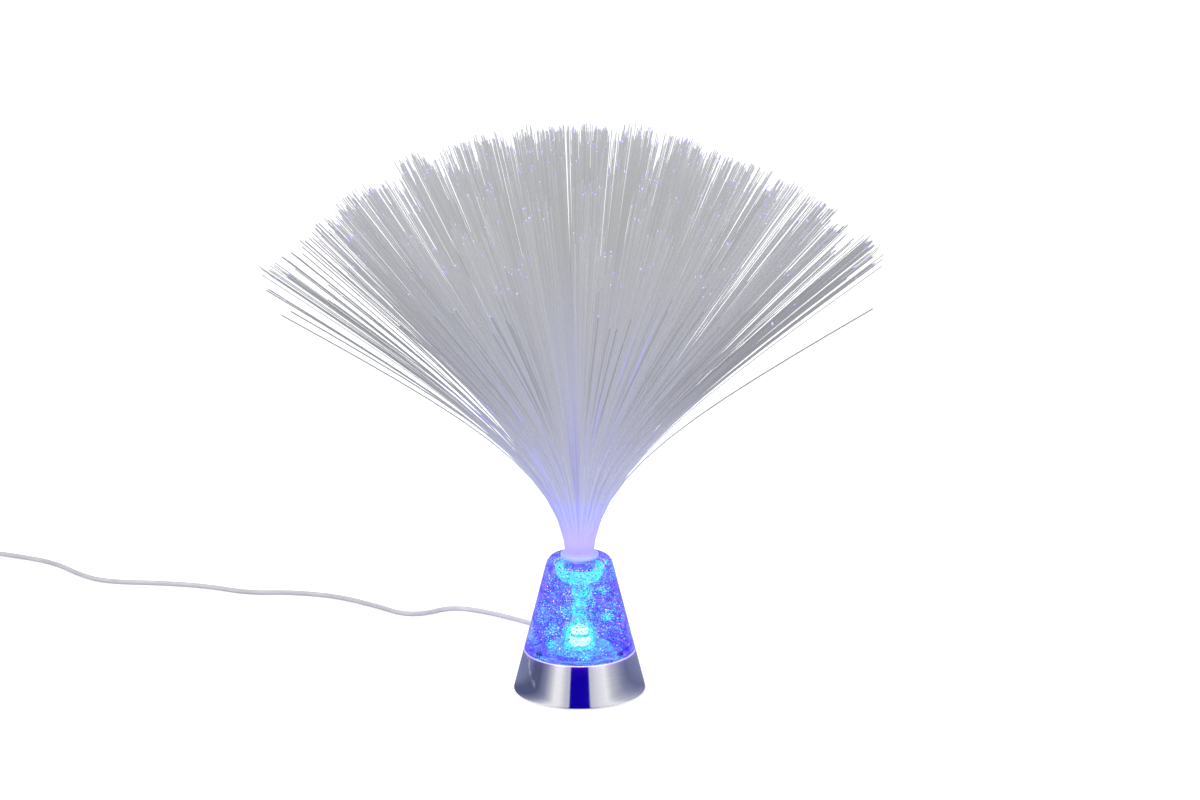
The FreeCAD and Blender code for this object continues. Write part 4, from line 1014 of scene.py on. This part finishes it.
def dress_nodes():
    slots = {row["node"]: row["material_slot"] for row in frame["record"]["subparts"]}
    for name, node in frame["nodes"].items():
        node.data.materials.clear()
        node.data.materials.append(MATERIALS[slots[name]])
        bevel = node.modifiers.new("eased_edges", "BEVEL")
        bevel.width = ROUNDER.get(name, EASED)
        bevel.segments = 3 if name in ROUNDER else 2
        bevel.limit_method = "ANGLE"
        bevel.angle_limit = math.radians(50)


dress_nodes()


# The studio

def seen_by_eye(nodes, links):
    """One for the camera and for what metal and glass show; nothing for all other light."""
    path = nodes.new("ShaderNodeLightPath")
    seen = maths(nodes, links, "MAXIMUM", path.outputs["Is Camera Ray"], path.outputs["Is Glossy Ray"])
    return maths(nodes, links, "MAXIMUM", seen, path.outputs["Is Transmission Ray"])


def make_world():
    world = bpy.data.worlds.new("studio")
    scene.world = world
    world.use_nodes = True
    nodes, links = world.node_tree.nodes, world.node_tree.links
    background = nodes["Background"]
    background.inputs["Strength"].default_value = 0.5
    white = nodes.new("ShaderNodeBackground")
    white.inputs["Strength"].default_value = 1.0
    white.inputs["Color"].default_value = (1.0, 1.0, 1.0, 1.0)
    background.inputs["Color"].default_value = (1.0, 1.0, 1.0, 1.0)
    seen = seen_by_eye(nodes, links)
    mix = nodes.new("ShaderNodeMixShader")
    links.new(seen, mix.inputs["Fac"])
    links.new(background.outputs["Background"], mix.inputs[1])
    links.new(white.outputs["Background"], mix.inputs[2])
    links.new(mix.outputs["Shader"], nodes["World Output"].inputs["Surface"])


def make_floor():
    bpy.ops.mesh.primitive_plane_add(size=24.0, location=(0.0, 0.0, -0.0001))
    floor = bpy.context.object
    floor.name = "studio_floor"
    material, nodes, links, shader = new_material("floor")
    shader.inputs["Base Color"].default_value = (0.93, 0.93, 0.93, 1.0)
    shader.inputs["Roughness"].default_value = 0.9
    shader.inputs["Specular IOR Level"].default_value = 0.1
    shader.inputs["Emission Color"].default_value = (1.0, 1.0, 1.0, 1.0)
    # far from the lamps the floor stays as pale as it is near them
    pale = mapped(nodes, links, distance_away(nodes, links), 1.0, 3.5, 0.35, 0.62)
    glow = maths(nodes, links, "MULTIPLY", seen_by_eye(nodes, links), pale)
    links.new(glow, shader.inputs["Emission Strength"])
    # from below there is nothing to see of the floor
    links.new(maths(nodes, links, "SUBTRACT", 1.0, backfacing(nodes)), shader.inputs["Alpha"])
    floor.data.materials.append(material)


def add_light(name, place, target, width, power):
    data = bpy.data.lights.new(name, "AREA")
    data.shape = "RECTANGLE"
    data.size = width
    data.size_y = width
    data.energy = power
    light = bpy.data.objects.new(name, data)
    scene.collection.objects.link(light)
    light.location = place
    direction = Vector(target) - Vector(place)
    light.rotation_euler = direction.to_track_quat("-Z", "Y").to_euler()


def only_in_polish(piece):
    """A card that only polished metal and acrylic show."""
    piece.visible_camera = False
    piece.visible_diffuse = False
    piece.visible_transmission = False
    piece.visible_shadow = False


def card_material(name, stops):
    """A card whose colour changes with the bearing, from the back round by the left to the back again."""
    material = bpy.data.materials.new(name)
    material.use_nodes = True
    nodes, links = material.node_tree.nodes, material.node_tree.links
    nodes.remove(nodes["Principled BSDF"])
    split = nodes.new("ShaderNodeSeparateXYZ")
    links.new(position(nodes), split.inputs["Vector"])
    forward = maths(nodes, links, "MULTIPLY", split.outputs["Y"], -1.0)
    bearing = maths(nodes, links, "ARCTAN2", split.outputs["X"], forward)
    share = mapped(nodes, links, bearing, -math.pi, math.pi, 0.0, 1.0)
    glow = nodes.new("ShaderNodeEmission")
    links.new(ramp(nodes, links, share, stops), glow.inputs["Color"])
    links.new(glow.outputs["Emission"], nodes["Material Output"].inputs["Surface"])
    return material


def add_card(name, vertices, faces, material):
    mesh = bpy.data.meshes.new(name)
    mesh.from_pydata(vertices, [], faces)
    mesh.materials.append(material)
    card = bpy.data.objects.new(name, mesh)
    scene.collection.objects.link(card)
    only_in_polish(card)


def make_reflection_cards():
    """Two soft boxes on a dusky wall, with a dark gap between them where the camera stands."""
    dusk, dim, gap = (0.23, 0.26, 0.42), (0.11, 0.13, 0.23), (0.008, 0.001, 0.45)
    half, grey, pale, bright = (0.3, 0.32, 0.46), (0.68, 0.69, 0.76), (0.93, 0.92, 1.0), (1.12, 1.12, 1.13)
    bearings = [
        (-180, dusk),
        (-112, dusk),
        (-97, dim),
        (-80, dim),
        (-65, half),
        (-54, grey),
        (-45, bright),
        (-36, bright),
        (-24, grey),
        (-18, grey),
        (-17, gap),
        (17, gap),
        (18, grey),
        (33, pale),
        (48, bright),
        (60, grey),
        (84, half),
        (100, (0.18, 0.2, 0.33)),
        (120, dusk),
        (150, half),
        (180, dusk),
    ]
    stops = [((degrees + 180) / 360, colour) for degrees, colour in bearings]
    material = card_material("reflection_wall", stops)
    steps, reach, top = 96, 1.25, 1.0
    turns = [2 * math.pi * k / steps for k in range(steps)]
    vertices = [(reach * math.cos(t), reach * math.sin(t), up) for t in turns for up in (0.0, top)]
    faces = [(2 * k, 2 * k + 1, (2 * k + 3) % (2 * steps), (2 * k + 2) % (2 * steps)) for k in range(steps)]
    add_card("reflection_wall", vertices, faces, material)
    inner = 0.0385
    vertices = [(r * math.cos(t), r * math.sin(t), 0.0002) for t in turns for r in (inner, reach)]
    add_card("reflection_floor", vertices, faces, material)


make_world()
make_floor()
make_reflection_cards()
for side, across in (("left", -1.6), ("right", 1.6)):
    add_light(side + "_soft_box", (across, -1.4, 1.3), (0, 0, 0.12), 1.2, 22.0)
add_light("top_soft_box", (0.0, 0.4, 2.2), (0, 0, 0.1), 1.6, 20.0)
